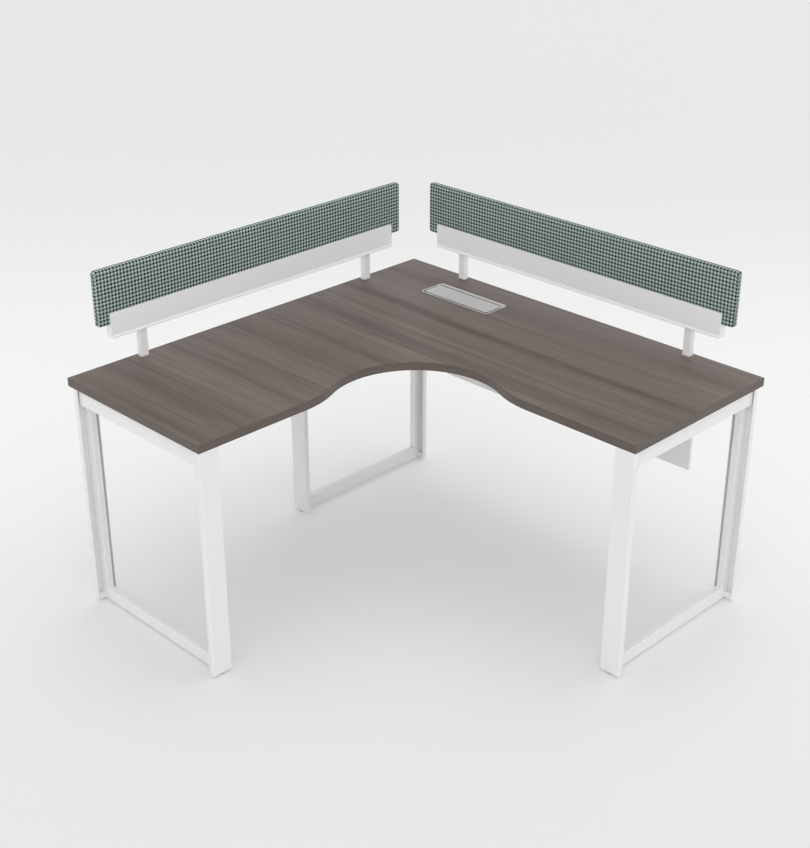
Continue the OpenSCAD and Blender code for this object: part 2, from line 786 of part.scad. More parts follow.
// Screen parts are drawn along X about the middle of a screen, then placed.
module at_right_screen() { translate([0, back_y - screen_inset, 0]) children(); }
module at_left_screen() { translate([left_x + screen_inset, 0, 0]) rotate([0, 0, 90]) children(); }

// Soft-edged block: rounded seen from the front, the end and above.
module soft_block(length, thick, height, corner, edge) {
  intersection() {
    translate([-length / 2, thick / 2, 0]) run_y(thick) round_rect(length, height, corner);
    translate([-length / 2, -thick / 2, 0]) run_x(length) round_rect(thick, height, edge);
    translate([-length / 2, -thick / 2, 0]) linear_extrude(height) round_rect(length, thick, edge);
  }
}
module core_block() {
  translate([-core_length / 2, core_thickness / 2, panel_z + cover_thickness])
    run_y(core_thickness) round_rect(core_length, core_height, core_radius);
}

// Fabric cover, closed round the board inside it.
module screen_cover() {
  color(green_cloth) difference() {
    translate([0, 0, panel_z])
      soft_block(screen_length, panel_thickness, panel_height, panel_corner_radius, panel_edge_radius);
    core_block();
    panel_screw_holes();
  }
}

// Board inside the cover.
module screen_core() {
  color("BurlyWood") difference() { core_block(); panel_screw_holes(); }
}
module panel_screw_spots() {
  for (s = panel_screw_shares)
    translate([s * screen_rail_length, panel_thickness / 2 + screen_rail_wall, panel_screw_z])
      rotate([90, 0, 0]) children();
}
module panel_screw_holes() {
  panel_screw_spots() translate([0, 0, -overcut])
    cylinder(d = small_screw_diameter + 2 * screw_clearance, h = overcut + screen_rail_wall
      + cover_thickness + panel_screw_length + screw_clearance);
}

// Section of the rail: a block with a lip along the bottom that slopes back to its faces.
module screen_rail_section() {
  side = screen_rail_depth / 2;
  lip = side + screen_lip_depth;
  polygon([[-lip, 0], [-lip, screen_lip_foot], [-side, screen_lip_height], [-side, screen_rail_height],
    [side, screen_rail_height], [side, screen_lip_height], [lip, screen_lip_foot], [lip, 0]]);
}

// Face of the rail, with its two upper corners rounded.
module screen_rail_face() {
  square([screen_rail_length, screen_rail_height - screen_rail_radius]);
  translate([screen_rail_radius, 0])
    square([screen_rail_length - 2 * screen_rail_radius, screen_rail_height]);
  for (x = [screen_rail_radius, screen_rail_length - screen_rail_radius])
    translate([x, screen_rail_height - screen_rail_radius]) circle(screen_rail_radius);
}

// Channel that grips the foot of the panel, closed at its ends below the panel.
module screen_rail() {
  color(silver) difference() {
    intersection() {
      translate([-screen_rail_length / 2, 0, rail_bottom_z]) run_x(screen_rail_length)
        screen_rail_section();
      translate([-screen_rail_length / 2, screen_rail_depth, rail_bottom_z])
        run_y(2 * screen_rail_depth) screen_rail_face();
    }
    translate([-screen_rail_length / 2 - overcut, -panel_thickness / 2, panel_z - cutout_clearance])
      cube([screen_rail_length + 2 * overcut, panel_thickness, screen_rail_height]);
    translate([screen_rail_wall - screen_rail_length / 2, -panel_thickness / 2,
        rail_bottom_z + screen_rail_wall])
      cube([screen_rail_length - 2 * screen_rail_wall, panel_thickness, screen_rail_height]);
    panel_screw_holes();
    for (s = [-1, 1]) translate([s * screen_post_spacing / 2, 0, rail_bottom_z - overcut])
      cylinder(d = small_screw_diameter + 2 * screw_clearance, h = 2 * overcut);
  }
}

// Solid post with a screw hole in each end.
module screen_post() {
  color(silver) difference() {
    translate([-screen_post_width / 2, -screen_post_depth / 2, top_height + shoe_height])
      linear_extrude(screen_post_height)
        round_rect(screen_post_width, screen_post_depth, screen_post_radius);
    translate([0, 0, top_height]) cylinder(d = screw_diameter + 2 * screw_clearance, h = bolt_reach
      + screw_clearance);
    translate([0, 0, rail_bottom_z + screen_rail_wall - rail_screw_length - screw_clearance])
      cylinder(d = small_screw_diameter + 2 * screw_clearance, h = rail_screw_length + overcut);
  }
}

// Plastic shoes between the posts and the worktop.
module screen_shoe() {
  difference() {
    translate([-screen_post_width / 2 - shoe_margin, -screen_post_depth / 2 - shoe_margin, top_height])
      linear_extrude(shoe_height) round_rect(screen_post_width + 2 * shoe_margin,
        screen_post_depth + 2 * shoe_margin, screen_post_radius + shoe_margin);
    translate([0, 0, top_height - overcut])
      cylinder(d = screw_diameter + 2 * screw_clearance, h = 2 * overcut);
  }
}
module screen_shoes() {
  color("Gainsboro") { right_screen_spots() screen_shoe(); left_screen_spots() screen_shoe(); }
}

// Bolts up through the worktop into the posts.
module screen_bolt() {
  translate([0, 0, under_z])
    screw_up(screw_diameter, top_thickness + bolt_reach, screw_head_diameter, screw_head_height);
}
module screen_bolts() {
  color(steel) { right_screen_spots() screen_bolt(); left_screen_spots() screen_bolt(); }
}

// Screws down through the rails into the posts, and from behind into the boards.
module screws_of_one_screen() {
  for (s = [-1, 1]) translate([s * screen_post_spacing / 2, 0, rail_bottom_z + screen_rail_wall])
    rotate([180, 0, 0])
      screw_up(small_screw_diameter, rail_screw_length, small_head_diameter, small_head_height);
  panel_screw_spots() screw_up(small_screw_diameter, screen_rail_wall + cover_thickness
    + panel_screw_length, small_head_diameter, small_head_height);
}
module screen_screws() {
  color(steel) { at_right_screen() screws_of_one_screen(); at_left_screen() screws_of_one_screen(); }
}

worktop();
edge_band();
at_left() far_post_shell();  // left_front_post
at_left() post_shell();  // left_rear_post
at_left() far_upright();  // left_front_upright
at_left() near_upright();  // left_rear_upright
left_top_rail();
at_left() bottom_rail();  // left_bottom_rail
at_corner() post_shell();  // corner_front_post
at_corner() far_post_shell();  // corner_rear_post
at_corner() near_upright();  // corner_front_upright
at_corner() far_upright();  // corner_rear_upright
corner_top_rail();
at_corner() bottom_rail();  // corner_bottom_rail
at_right() post_shell();  // right_front_post
at_right() far_post_shell();  // right_rear_post
at_right() near_upright();  // right_front_upright
at_right() far_upright();  // right_rear_upright
right_top_rail();
at_right() bottom_rail();  // right_bottom_rail
foot_blocks();
at_left() to_far() pad();  // left_front_pad
at_left() pad();  // left_rear_pad
at_corner() pad();  // corner_front_pad
at_corner() to_far() pad();  // corner_rear_pad
at_right() pad();  // right_front_pad
at_right() to_far() pad();  // right_rear_pad
at_left() to_far() stud();  // left_front_stud
at_left() stud();  // left_rear_stud
at_corner() stud();  // corner_front_stud
at_corner() to_far() stud();  // corner_rear_stud
at_right() stud();  // right_front_stud
at_right() to_far() stud();  // right_rear_stud
main_front_beam();
main_rear_beam();
return_inner_beam();
return_outer_beam();
beam_end_plates();
beam_screws();
worktop_screws();
modesty_panel();
modesty_screws();
port_frame();
port_lid();
port_hinge_pin();
port_brush();
port_clamps();
port_clamp_screws();
at_left_screen() screen_cover();  // left_screen_cover
at_left_screen() screen_core();  // left_screen_core
at_left_screen() screen_rail();  // left_screen_rail
left_screen_spots() screen_post();  // left_screen_posts
at_right_screen() screen_cover();  // right_screen_cover
at_right_screen() screen_core();  // right_screen_core
at_right_screen() screen_rail();  // right_screen_rail
right_screen_spots() screen_post();  // right_screen_posts
screen_shoes();
screen_bolts();
screen_screws();
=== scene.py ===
import math

import bpy
import numpy as np
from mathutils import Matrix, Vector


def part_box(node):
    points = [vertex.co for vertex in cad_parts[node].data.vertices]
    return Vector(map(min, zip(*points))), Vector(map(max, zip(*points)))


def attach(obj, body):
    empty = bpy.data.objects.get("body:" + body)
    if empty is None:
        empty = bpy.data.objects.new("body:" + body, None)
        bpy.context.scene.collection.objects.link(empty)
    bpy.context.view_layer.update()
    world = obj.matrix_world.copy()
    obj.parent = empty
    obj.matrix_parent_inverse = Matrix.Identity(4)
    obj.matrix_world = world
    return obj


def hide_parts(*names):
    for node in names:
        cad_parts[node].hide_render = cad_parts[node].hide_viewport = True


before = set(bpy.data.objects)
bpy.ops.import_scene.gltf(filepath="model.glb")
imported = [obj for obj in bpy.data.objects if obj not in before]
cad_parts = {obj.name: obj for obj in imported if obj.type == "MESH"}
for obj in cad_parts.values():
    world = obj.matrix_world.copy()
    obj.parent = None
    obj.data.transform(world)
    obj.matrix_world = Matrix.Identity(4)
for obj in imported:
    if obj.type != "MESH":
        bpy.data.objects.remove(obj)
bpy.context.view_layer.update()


# Studio: a pale floor with a painted pool of light about the desk, under an even dome of
# light, seen from the place where the photograph was taken. The floor and the dome are not
# part of the desk.

PHOTO_HEIGHT = 848
FOCAL_LENGTH_PIXELS = 1478.7
SENSOR_MM = 36.0
CAMERA_PLACE = (2.682, -2.726, 2.4758)
# How far the camera looks down, and its heading, in degrees.
CAMERA_DIP = 26.265
CAMERA_HEADING = 45.0
FLOOR_SIZE = 60.0
FLOOR_SEEN = (0.65, 0.65, 0.65)
FLOOR_BOUNCE = (0.84, 0.84, 0.84)
FLOOR_ROUGHNESS = 0.55
FLOOR_SPECULAR = 0.25
# The floor's own even tone, and the soft painted pool of light in which the desk stands, a
# glow that camera and reflection rays see: how much it adds, how far behind the middle of
# the desk it lies, and its half width in metres.
FLOOR_GLOW = 0.112
PAINTED_POOL_GLOW = 0.112
PAINTED_POOL_PLACE = 1.3
PAINTED_POOL_HALF_WIDTH = 2.0
DOME_SEEN = (0.84, 0.84, 0.84)
# Light of the dome at the horizon, from there to the top, and at the top; and the sines
# of the heights between which one gives way to the next.
DOME_LIGHT = (0.96, 0.55, 1.33)
DOME_STEPS = (0.20, 0.40, 0.75, 0.95)
# Two broad suns: strength, spread in degrees, and turn about X, Y and Z in degrees.
SUNS = {
    "back": (0.48, 75.0, (-36.0, 0.0, -8.0)),
    "fill": (0.66, 60.0, (54.0, 0.0, 42.0)),
}
WHITE = (1.0, 1.0, 1.0)
BLACK = (0.0, 0.0, 0.0)

camera_data = bpy.data.cameras.new("camera")
camera_data.sensor_width = SENSOR_MM
camera_data.lens = FOCAL_LENGTH_PIXELS * SENSOR_MM / PHOTO_HEIGHT
camera = bpy.data.objects.new("camera", camera_data)
camera.location = CAMERA_PLACE
camera.rotation_euler = (math.radians(90 - CAMERA_DIP), 0.0, math.radians(CAMERA_HEADING))
bpy.context.scene.collection.objects.link(camera)
bpy.context.scene.camera = camera
bpy.context.scene.view_settings.view_transform = "Standard"


class Value:
    """One output of a material's nodes. Sums and products of it add Math nodes."""

    def __init__(self, finish, output):
        self.finish, self.output = finish, output

    def math(self, operation, *others):
        return self.finish.node("ShaderNodeMath", {"operation": operation}, (self, *others))

    def __add__(self, other):
        return self.math("ADD", other)

    def __sub__(self, other):
        return self.math("SUBTRACT", other)

    def __rsub__(self, other):
        return self.finish.node("ShaderNodeMath", {"operation": "SUBTRACT"}, (other, self))

    def __mul__(self, other):
        return self.math("MULTIPLY", other)

    def __truediv__(self, other):
        return self.math("DIVIDE", other)

    def __mod__(self, other):
        return self.math("FLOORED_MODULO", other)

    def __lt__(self, other):
        return self.math("LESS_THAN", other)

    def __gt__(self, other):
        return self.math("GREATER_THAN", other)

    __radd__, __rmul__ = __add__, __mul__


class Finish:
    """A material being mixed: each call of node() adds one node."""

    def __init__(self, name, owner=None):
        self.owner = owner or bpy.data.materials.new(name)
        self.owner.use_nodes = True
        self.tree = self.owner.node_tree
        self.tree.nodes.clear()

    def node(self, kind, settings=None, inputs=(), output=0):
        """A node of a kind, its settings first, then its inputs by order or by name."""
        made = self.tree.nodes.new(kind)
        for name, value in (settings or {}).items():
            setattr(made, name, value)
        pairs = inputs.items() if isinstance(inputs, dict) else enumerate(inputs)
        for name, value in pairs:
            if isinstance(value, Value):
                self.tree.links.new(value.output, made.inputs[name])
            elif isinstance(value, tuple) and made.inputs[name].type == "RGBA":
                made.inputs[name].default_value = (*value, 1.0)
            else:
                made.inputs[name].default_value = value
        return Value(self, made.outputs[output]) if made.outputs else None

    def place(self, stretch=(1.0, 1.0, 1.0)):
        """Object coordinates in metres, each multiplied by its own factor."""
        spot = self.node("ShaderNodeTexCoord", output="Object")
        return self.node("ShaderNodeVectorMath", {"operation": "MULTIPLY"}, (spot, stretch))

    def noise(self, stretch, detail=3.0, rough=0.5, place=None):
        """Noise about 0.5 whose features are one over the stretch long on each axis."""
        spot = self.place(stretch) if place is None else place
        inputs = {"Vector": spot, "Scale": 1.0, "Detail": detail, "Roughness": rough}
        return self.node("ShaderNodeTexNoise", {}, inputs)

    def blend(self, share, first, second):
        """The first colour where share is 0, the second where it is 1."""
        inputs = {0: share, 6: first, 7: second}
        return self.node("ShaderNodeMix", {"data_type": "RGBA"}, inputs, output=2)

    def shade(self, colour, tone):
        """A colour, or a link that carries one, times a number about 1."""
        scaled = {"operation": "SCALE"}
        return self.node("ShaderNodeVectorMath", scaled, {"Vector": colour, "Scale": tone})

    def bump(self, height, depth):
        """Normals of a surface raised by a height from 0 to 1 times a depth in metres."""
        inputs = {"Height": height, "Distance": depth, "Strength": 1.0}
        return self.node("ShaderNodeBump", {}, inputs)

    def close(self, colour, roughness, normal=None, **constant):
        """Ends the material: varying values first, then the shader's plain numbers."""
        inputs = {"Base Color": colour, "Roughness": roughness}
        if normal is not None:
            inputs["Normal"] = normal
        inputs.update({name.replace("_", " "): value for name, value in constant.items()})
        shader = self.node("ShaderNodeBsdfPrincipled", {}, inputs)
        self.node("ShaderNodeOutputMaterial", {}, {"Surface": shader})
        return self.owner


def seen_or_lit(finish, seen, lit):
    """One colour where a camera, a gloss or a glass sees it, one that lights the desk."""
    camera_ray, gloss_ray, glass_ray = (
        finish.node("ShaderNodeLightPath", output=f"Is {ray} Ray")
        for ray in ("Camera", "Glossy", "Transmission")
    )
    is_seen = (camera_ray + gloss_ray + glass_ray).math("MINIMUM", 1.0)
    return finish.blend(is_seen, lit, seen)


def mesh_piece(name, points, faces, body, finish, corner_uv=None, smooth=35.0):
    """A mesh object at the origin from points and faces. Edges sharper than the smooth
    angle stay sharp. A piece without a body is part of the studio."""
    mesh = bpy.data.meshes.new(name)
    mesh.from_pydata(np.asarray(points).tolist(), [], faces)
    if corner_uv is not None:
        layer = mesh.uv_layers.new(name="cloth")
        layer.data.foreach_set("uv", np.asarray(corner_uv, np.float32).ravel())
    mesh.validate()
    mesh.shade_smooth()
    mesh.set_sharp_from_angle(angle=math.radians(smooth))
    mesh.materials.append(finish)
    piece = bpy.data.objects.new(name, mesh)
    bpy.context.scene.collection.objects.link(piece)
    if body is not None:
        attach(piece, body)
    return piece


def bell(value, centre, half_width):
    """1 at the centre, falling off on both sides as e to the minus square of the distance
    over the half width."""
    away = (value - centre) / half_width
    return (away * away * -1.0).math("EXPONENT")


floor_finish = Finish("pale_floor")
backwards = (-math.sqrt(0.5), math.sqrt(0.5), 0.0)
behind = floor_finish.node("ShaderNodeVectorMath", {"operation": "DOT_PRODUCT"},
                           (floor_finish.place(), backwards), output="Value")
# The painted pool of light: a bell of glow behind the desk's middle, on top of the floor's
# even glow.
glow_and_painted_pool = bell(behind, PAINTED_POOL_PLACE, PAINTED_POOL_HALF_WIDTH) * PAINTED_POOL_GLOW + FLOOR_GLOW
glow = floor_finish.shade(WHITE, glow_and_painted_pool)
floor_material = floor_finish.close(
    seen_or_lit(floor_finish, FLOOR_SEEN, FLOOR_BOUNCE), FLOOR_ROUGHNESS,
    Specular_IOR_Level=FLOOR_SPECULAR,
    Emission_Color=seen_or_lit(floor_finish, glow, BLACK), Emission_Strength=1.0,
)
half_floor = FLOOR_SIZE / 2
floor_corners = [(-half_floor, -half_floor, 0), (half_floor, -half_floor, 0),
                 (half_floor, half_floor, 0), (-half_floor, half_floor, 0)]
floor = mesh_piece("floor", floor_corners, [(0, 1, 2, 3)], None, floor_material)

world = bpy.data.worlds.new("dome")
bpy.context.scene.world = world
dome = Finish("dome", world)
ray = dome.node("ShaderNodeTexCoord", output="Generated")
sine = dome.node("ShaderNodeSeparateXYZ", {}, (ray,), output="Z")
horizon, middle, zenith = DOME_LIGHT


def step_up(value, low, high):
    """0 below the first number, 1 above the second, and a smooth step between them."""
    smooth = {"interpolation_type": "SMOOTHSTEP"}
    inputs = {0: value, 1: low, 2: high, 3: 0.0, 4: 1.0}
    return value.finish.node("ShaderNodeMapRange", smooth, inputs)


level = (horizon + step_up(sine, *DOME_STEPS[:2]) * (middle - horizon)
         + step_up(sine, *DOME_STEPS[2:]) * (zenith - middle))
sky = dome.shade(WHITE, level)
dome_light = dome.node("ShaderNodeBackground", {},
                       {"Color": seen_or_lit(dome, DOME_SEEN, sky), "Strength": 1.0})
dome.node("ShaderNodeOutputWorld", {}, {"Surface": dome_light})

for lamp_name, (strength, spread, turn) in SUNS.items():
    lamp_data = bpy.data.lights.new(lamp_name, "SUN")
    lamp_data.energy = strength
    lamp_data.angle = math.radians(spread)
    lamp = bpy.data.objects.new(lamp_name, lamp_data)
    lamp.rotation_euler = [math.radians(degrees) for degrees in turn]
    bpy.context.scene.collection.objects.link(lamp)


# Leg frames: three loops of bent sheet posts, inner upright tubes and rectangular
# rails, welded together and powder coated white.

WHITE_COAT = (0.846, 0.846, 0.843)
WHITE_ROUGHNESS = 0.42
# The orange peel, the slow clouds and the grit, in features a metre.
PEEL_PER_METRE = 520.0
CLOUDS_PER_METRE = 3.0
GRIT_PER_METRE = 4000.0
PEEL_DEPTH = 0.00005
# The coat's least tone, and how much clouds and peel add to it; and how much they change
# its roughness.
COAT_TONE = (0.975, 0.03, 0.02)
COAT_ROUGHNESS_CHANGE = (0.10, 0.06)


def summed(amounts, *changes):
    """The first amount, and to it each changing value times its own amount."""
    total = amounts[0]
    for change, amount in zip(changes, amounts[1:]):
        total = total + change * amount
    return total


def powder_coat(name, colour, roughness, sparkle=0.0):
    """Powder coat: fine orange peel in the surface, and slow changes of tone and gloss."""
    coat = Finish(name)
    peel = coat.noise((PEEL_PER_METRE,) * 3, detail=2.0)
    cloud = coat.noise((CLOUDS_PER_METRE,) * 3, detail=2.0)
    grit = coat.noise((GRIT_PER_METRE,) * 3, detail=1.0)
    tone = summed(COAT_TONE, cloud, peel) + (grit - 0.5) * sparkle
    roughness = summed((roughness, *COAT_ROUGHNESS_CHANGE), cloud - 0.5, peel - 0.5)
    return coat.close(coat.shade(colour, tone), roughness, coat.bump(peel, PEEL_DEPTH))


def dress(nodes, finish):
    """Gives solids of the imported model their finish."""
    for name in nodes:
        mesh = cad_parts[name].data
        mesh.materials.clear()
        mesh.materials.append(finish)


white_coat = powder_coat("white_powder_coat", WHITE_COAT, WHITE_ROUGHNESS)
frame_sides = ("left", "corner", "right")
frame_parts = ("front_post", "rear_post", "front_upright", "rear_upright", "top_rail",
               "bottom_rail")
dress([f"{side}_{part}" for side in frame_sides for part in frame_parts], white_coat)


# Welds of the leg frames: a fillet bead along the outer side and the top of each end
# of a bottom rail, where it meets the upright tube. The coat covers it.

BEAD_RADIUS = 0.0016
BEAD_RIPPLE_LENGTH = 0.0021
BEAD_RIPPLE_SHARE = 0.10
BEAD_STEP = 0.0005
BEAD_SIDES = 10
# The least share of the section that is left where a bead runs out.
BEAD_END_SHARE = 0.15


def ring_faces(rings, sides, first=0, closed_ends=True):
    """Quads between neighbouring rings of a grid of points, and one face over each end."""
    ring, side = np.indices((rings - 1, sides))
    after = (side + 1) % sides
    quads = np.stack([ring * sides + side, ring * sides + after,
                      (ring + 1) * sides + after, (ring + 1) * sides + side], -1)
    faces = (quads.reshape(-1, 4) + first).tolist()
    if closed_ends:
        faces.append((first + np.arange(sides)[::-1]).tolist())
        faces.append((first + (rings - 1) * sides + np.arange(sides)).tolist())
    return faces


def turn_angles(sides):
    """The angles of a ring's points, from 0 to one step before a full turn."""
    return 2 * np.pi * np.arange(sides) / sides


def bead_rings(corner_points, normal):
    """Rings of a weld bead: a circle carried along a bent line that lies in one plane.
    Its radius swells and shrinks by a sine along the way, and fades at both ends."""
    corner_points = np.asarray(corner_points, float)
    legs = np.linalg.norm(np.diff(corner_points, axis=0), axis=1)
    reach = np.concatenate([[0.0], np.cumsum(legs)])
    along = np.linspace(0.0, reach[-1], int(reach[-1] / BEAD_STEP))
    line = np.stack([np.interp(along, reach, corner_points[:, k]) for k in range(3)], -1)
    tangent = np.gradient(line, axis=0)
    tangent /= np.linalg.norm(tangent, axis=1)[:, None]
    sideways = np.cross(tangent, normal)
    ripple = 1 + BEAD_RIPPLE_SHARE * np.sin(2 * np.pi * along / BEAD_RIPPLE_LENGTH)
    from_end = np.minimum(along, reach[-1] - along)
    ends = np.clip(from_end / (2 * BEAD_RADIUS), BEAD_END_SHARE, 1.0)
    radius = BEAD_RADIUS * ripple * np.sqrt(ends)
    angle = turn_angles(BEAD_SIDES)
    across = (sideways[:, None] * np.cos(angle)[:, None]
              + np.asarray(normal) * np.sin(angle)[:, None])
    return line[:, None] + radius[:, None, None] * across


weld_points, weld_faces, weld_count = [], [], 0
for side in frame_sides:
    low, high = (np.array(corner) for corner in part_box(f"{side}_bottom_rail"))
    tube_low, tube_high = (np.array(corner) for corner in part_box(f"{side}_rear_upright"))
    run = 0 if side == "left" else 1
    cross = 1 - run
    outer, inner = (low, tube_high) if side == "left" else (high, tube_low)
    for end in (low[run], high[run]):
        # Up the outer side of the rail's end, and then over its top to the inner side.
        corner_points = np.zeros((3, 3))
        corner_points[:, run] = end
        corner_points[:, cross] = outer[cross], outer[cross], inner[cross]
        corner_points[:, 2] = low[2] + BEAD_RADIUS, high[2], high[2]
        rings = bead_rings(corner_points, np.eye(3)[run])
        weld_points.append(rings.reshape(-1, 3))
        weld_faces += ring_faces(*rings.shape[:2], first=weld_count)
        weld_count += rings.shape[0] * rings.shape[1]
mesh_piece("rail_welds", np.concatenate(weld_points), weld_faces, "desk",
           white_coat)


# Threaded blocks: steel bars across the feet of the posts, each with a tongue that carries
# the upright tube. They are welded in, bored and tapped for the studs, and coated white.

dress(["foot_blocks"], white_coat)


# Foot pads: moulded nylon discs that stand on the floor, each with a bore in which the
# stud turns, a chamfered foot and a shallow ring groove round its top.

PAD_GREY = (0.55, 0.55, 0.54)
PAD_SIDES = 64
PAD_SMOOTH = 28.0
# Radius and height of the pad's outline, in millimetres, from the middle of its underside
# round to the middle of the bore.
PAD_OUTLINE = ((0.5, 0.0), (6.0, 0.0), (7.4, 0.0), (7.8, 0.2), (8.0, 0.6), (8.0, 2.3),
               (7.85, 2.75), (7.5, 3.0), (7.1, 3.1), (6.9, 2.9), (6.6, 2.9), (6.4, 3.4),
               (6.2, 3.5), (4.8, 3.5), (3.7, 3.5), (3.55, 3.35), (3.55, 1.5), (0.5, 1.5))
MILLIMETRE = 0.001
SPARK_GRAIN_PER_METRE = 1800.0
SPARK_GRAIN_DEPTH = 0.00003
MOTTLE_PER_METRE = 40.0
NYLON_TONE = (0.95, 0.07, 0.03)
NYLON_ROUGHNESS = (0.48, 0.12)


def rings_about_z(radius, height, angle):
    """Rings of points about the Z axis: each radius at its angle, all of a ring at one
    height. The radii of a ring may be all one, or one for each angle."""
    height = np.reshape(height, (-1, 1)) + np.zeros_like(angle)
    return np.stack([radius * np.cos(angle), radius * np.sin(angle), height], -1)


def nylon(name, colour):
    """Moulded nylon: satin, faintly mottled, with a fine spark-eroded grain."""
    moulded = Finish(name)
    grain = moulded.noise((SPARK_GRAIN_PER_METRE,) * 3, detail=2.0)
    mottle = moulded.noise((MOTTLE_PER_METRE,) * 3, detail=3.0)
    tone = summed(NYLON_TONE, mottle, grain)
    return moulded.close(moulded.shade(colour, tone), summed(NYLON_ROUGHNESS, grain - 0.5),
                         moulded.bump(grain, SPARK_GRAIN_DEPTH))


pad_nylon = nylon("pad_nylon", PAD_GREY)
pad_radius, pad_height = np.array(PAD_OUTLINE).T
pad_rings = rings_about_z(pad_radius[:, None], pad_height, turn_angles(PAD_SIDES))
foot_names = [f"{side}_{end}" for side in frame_sides for end in ("front", "rear")]
for foot in foot_names:
    low, high = (np.array(corner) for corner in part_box(f"{foot}_pad"))
    centre = np.array([*((low + high) / 2)[:2], low[2]])
    points = pad_rings.reshape(-1, 3) * MILLIMETRE + centre
    piece = mesh_piece(f"{foot}_foot_pad", points, ring_faces(*pad_rings.shape[:2]),
                       f"{foot}_pad", pad_nylon, smooth=PAD_SMOOTH)
    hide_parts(f"{foot}_pad")


# Levelling studs: M8 zinc plated steel, with a real thread, a chamfered hexagon collar
# for the spanner and a plain tail that turns in the pad.

ZINC = (0.60, 0.60, 0.59)
ZINC_TONE = (0.90, 0.12, 0.06)
ZINC_ROUGHNESS = (0.40, 0.25, 0.12)
# The patches, and the drawn marks along Z, in features a metre.
PATCHES_PER_METRE = (60.0, 60.0, 60.0)
DRAWN_MARKS_PER_METRE = (900.0, 900.0, 60.0)
DRAWN_MARK_DEPTH = 0.00002
# The stud's own sizes, in millimetres.
STUD_SIDES = 48
TAIL_RADIUS = 3.5
SHANK_RADIUS = 4.0
END_RADIUS = 0.3
THREAD_PITCH = 1.25
THREAD_DEPTH = 0.62
# Share of the wave that is cut flat at the crest and at the root.
THREAD_FLAT = 0.125
THREAD_RUN_OUT = 1.2
THREAD_LEAD = 1.0
THREAD_RINGS_PER_TURN = 10
COLLAR_FLATS = 13.0
COLLAR_CORNER_CUT = 6.75
COLLAR_CHAMFER = 0.5
STUD_SMOOTH = 40.0


def zinc_plate(name, colour):
    """Zinc plating: soft grey with drawn marks, and patches that differ in gloss."""
    plate = Finish(name)
    patch = plate.noise(PATCHES_PER_METRE, detail=3.0)
    drawn = plate.noise(DRAWN_MARKS_PER_METRE, detail=2.0)
    roughness = summed(ZINC_ROUGHNESS, patch - 0.5, drawn - 0.5)
    return plate.close(plate.shade(colour, summed(ZINC_TONE, patch, drawn)), roughness,
                       plate.bump(drawn, DRAWN_MARK_DEPTH), Metallic=1.0)


def hexagon(angle, flats, turn):
    """Radius of a hexagon with a width across its flats, at each angle about its middle."""
    return flats / 2 / np.cos((angle - turn + np.pi / 6) % (np.pi / 3) - np.pi / 6)


def stud_rings(tail_z, pad_z, collar_z, top_z, turn):
    """Rings of a stud: plain tail, hexagon collar whose corners are cut by a cone, and a
    thread whose radius is a triangle wave of height over pitch less the share of a turn,
    flat at crests and roots. The thread runs out at the collar and is cut at its tip."""
    angle = turn_angles(STUD_SIDES)
    hex_radius = hexagon(angle, COLLAR_FLATS, turn)
    height = [np.full(1, tail_z), np.full(1, tail_z), np.full(1, pad_z)]
    radius = [np.full((1, STUD_SIDES), r) for r in (END_RADIUS, TAIL_RADIUS, TAIL_RADIUS)]
    for z, limit in ((pad_z, COLLAR_CORNER_CUT), (pad_z + COLLAR_CHAMFER, np.inf),
                     (collar_z - COLLAR_CHAMFER, np.inf), (collar_z, COLLAR_CORNER_CUT)):
        height.append(np.full(1, z))
        radius.append(np.minimum(hex_radius, limit)[None])
    rings = int((top_z - collar_z) / THREAD_PITCH * THREAD_RINGS_PER_TURN)
    z = np.linspace(collar_z, top_z, rings)
    wave = np.abs(2 * ((z[:, None] / THREAD_PITCH - angle / (2 * np.pi)) % 1.0) - 1)
    cut = THREAD_DEPTH * np.clip((1 + 2 * THREAD_FLAT) * wave - THREAD_FLAT, 0.0, 1.0)
    run_out = np.clip((z - collar_z) / THREAD_RUN_OUT, 0.0, 1.0)[:, None]
    lead = THREAD_DEPTH * np.clip((z - top_z) / THREAD_LEAD + 1, 0.0, 1.0)[:, None]
    radius.append(SHANK_RADIUS - np.maximum(cut * run_out, lead))
    radius.append(np.full((1, STUD_SIDES), END_RADIUS))
    height += [z, np.full(1, top_z)]
    return rings_about_z(np.concatenate(radius), np.concatenate(height), angle)


zinc = zinc_plate("zinc_plate", ZINC)
for foot in foot_names:
    low, high = (np.array(corner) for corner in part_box(f"{foot}_stud"))
    pad_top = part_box(f"{foot}_pad")[1][2]
    post_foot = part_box(f"{foot}_post")[0][2]
    middle = (low + high) / 2
    hexagon_turn = np.pi / 6 if foot.startswith("left") else 0.0
    heights = (z / MILLIMETRE for z in (low[2], pad_top, post_foot, high[2]))
    rings = stud_rings(*heights, hexagon_turn)
    points = rings.reshape(-1, 3) * MILLIMETRE + (middle[0], middle[1], 0.0)
    piece = mesh_piece(f"{foot}_foot_stud", points, ring_faces(*rings.shape[:2]),
                       f"{foot}_stud", zinc, smooth=STUD_SMOOTH)
    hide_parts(f"{foot}_stud")


# Beams: four rectangular tubes with plates welded on their ends, screwed between the
# frames' top rails and to each other, in the frames' white coat.

dress(["main_front_beam", "main_rear_beam", "return_inner_beam", "return_outer_beam",
       "beam_end_plates"], white_coat)


# Screws of the beams and of the worktop: forged steel with a button head and a hexagon
# socket, zinc plated. They go in through the end plates, and up through the rails.

SCREW_SIDES = 24
DOME_RINGS = 7
# Sizes of a button head, as shares of its radius: the socket across its flats, its lip.
SOCKET_FLATS = 0.74
SOCKET_LIP = 0.50
# And as shares of its height: the floor of the socket, its mouth, the straight rim, and
# the small chamfer under the head.
SOCKET_FLOOR = 0.42
SOCKET_MOUTH = 0.94
HEAD_RIM = 0.15
HEAD_CHAMFER = 0.03
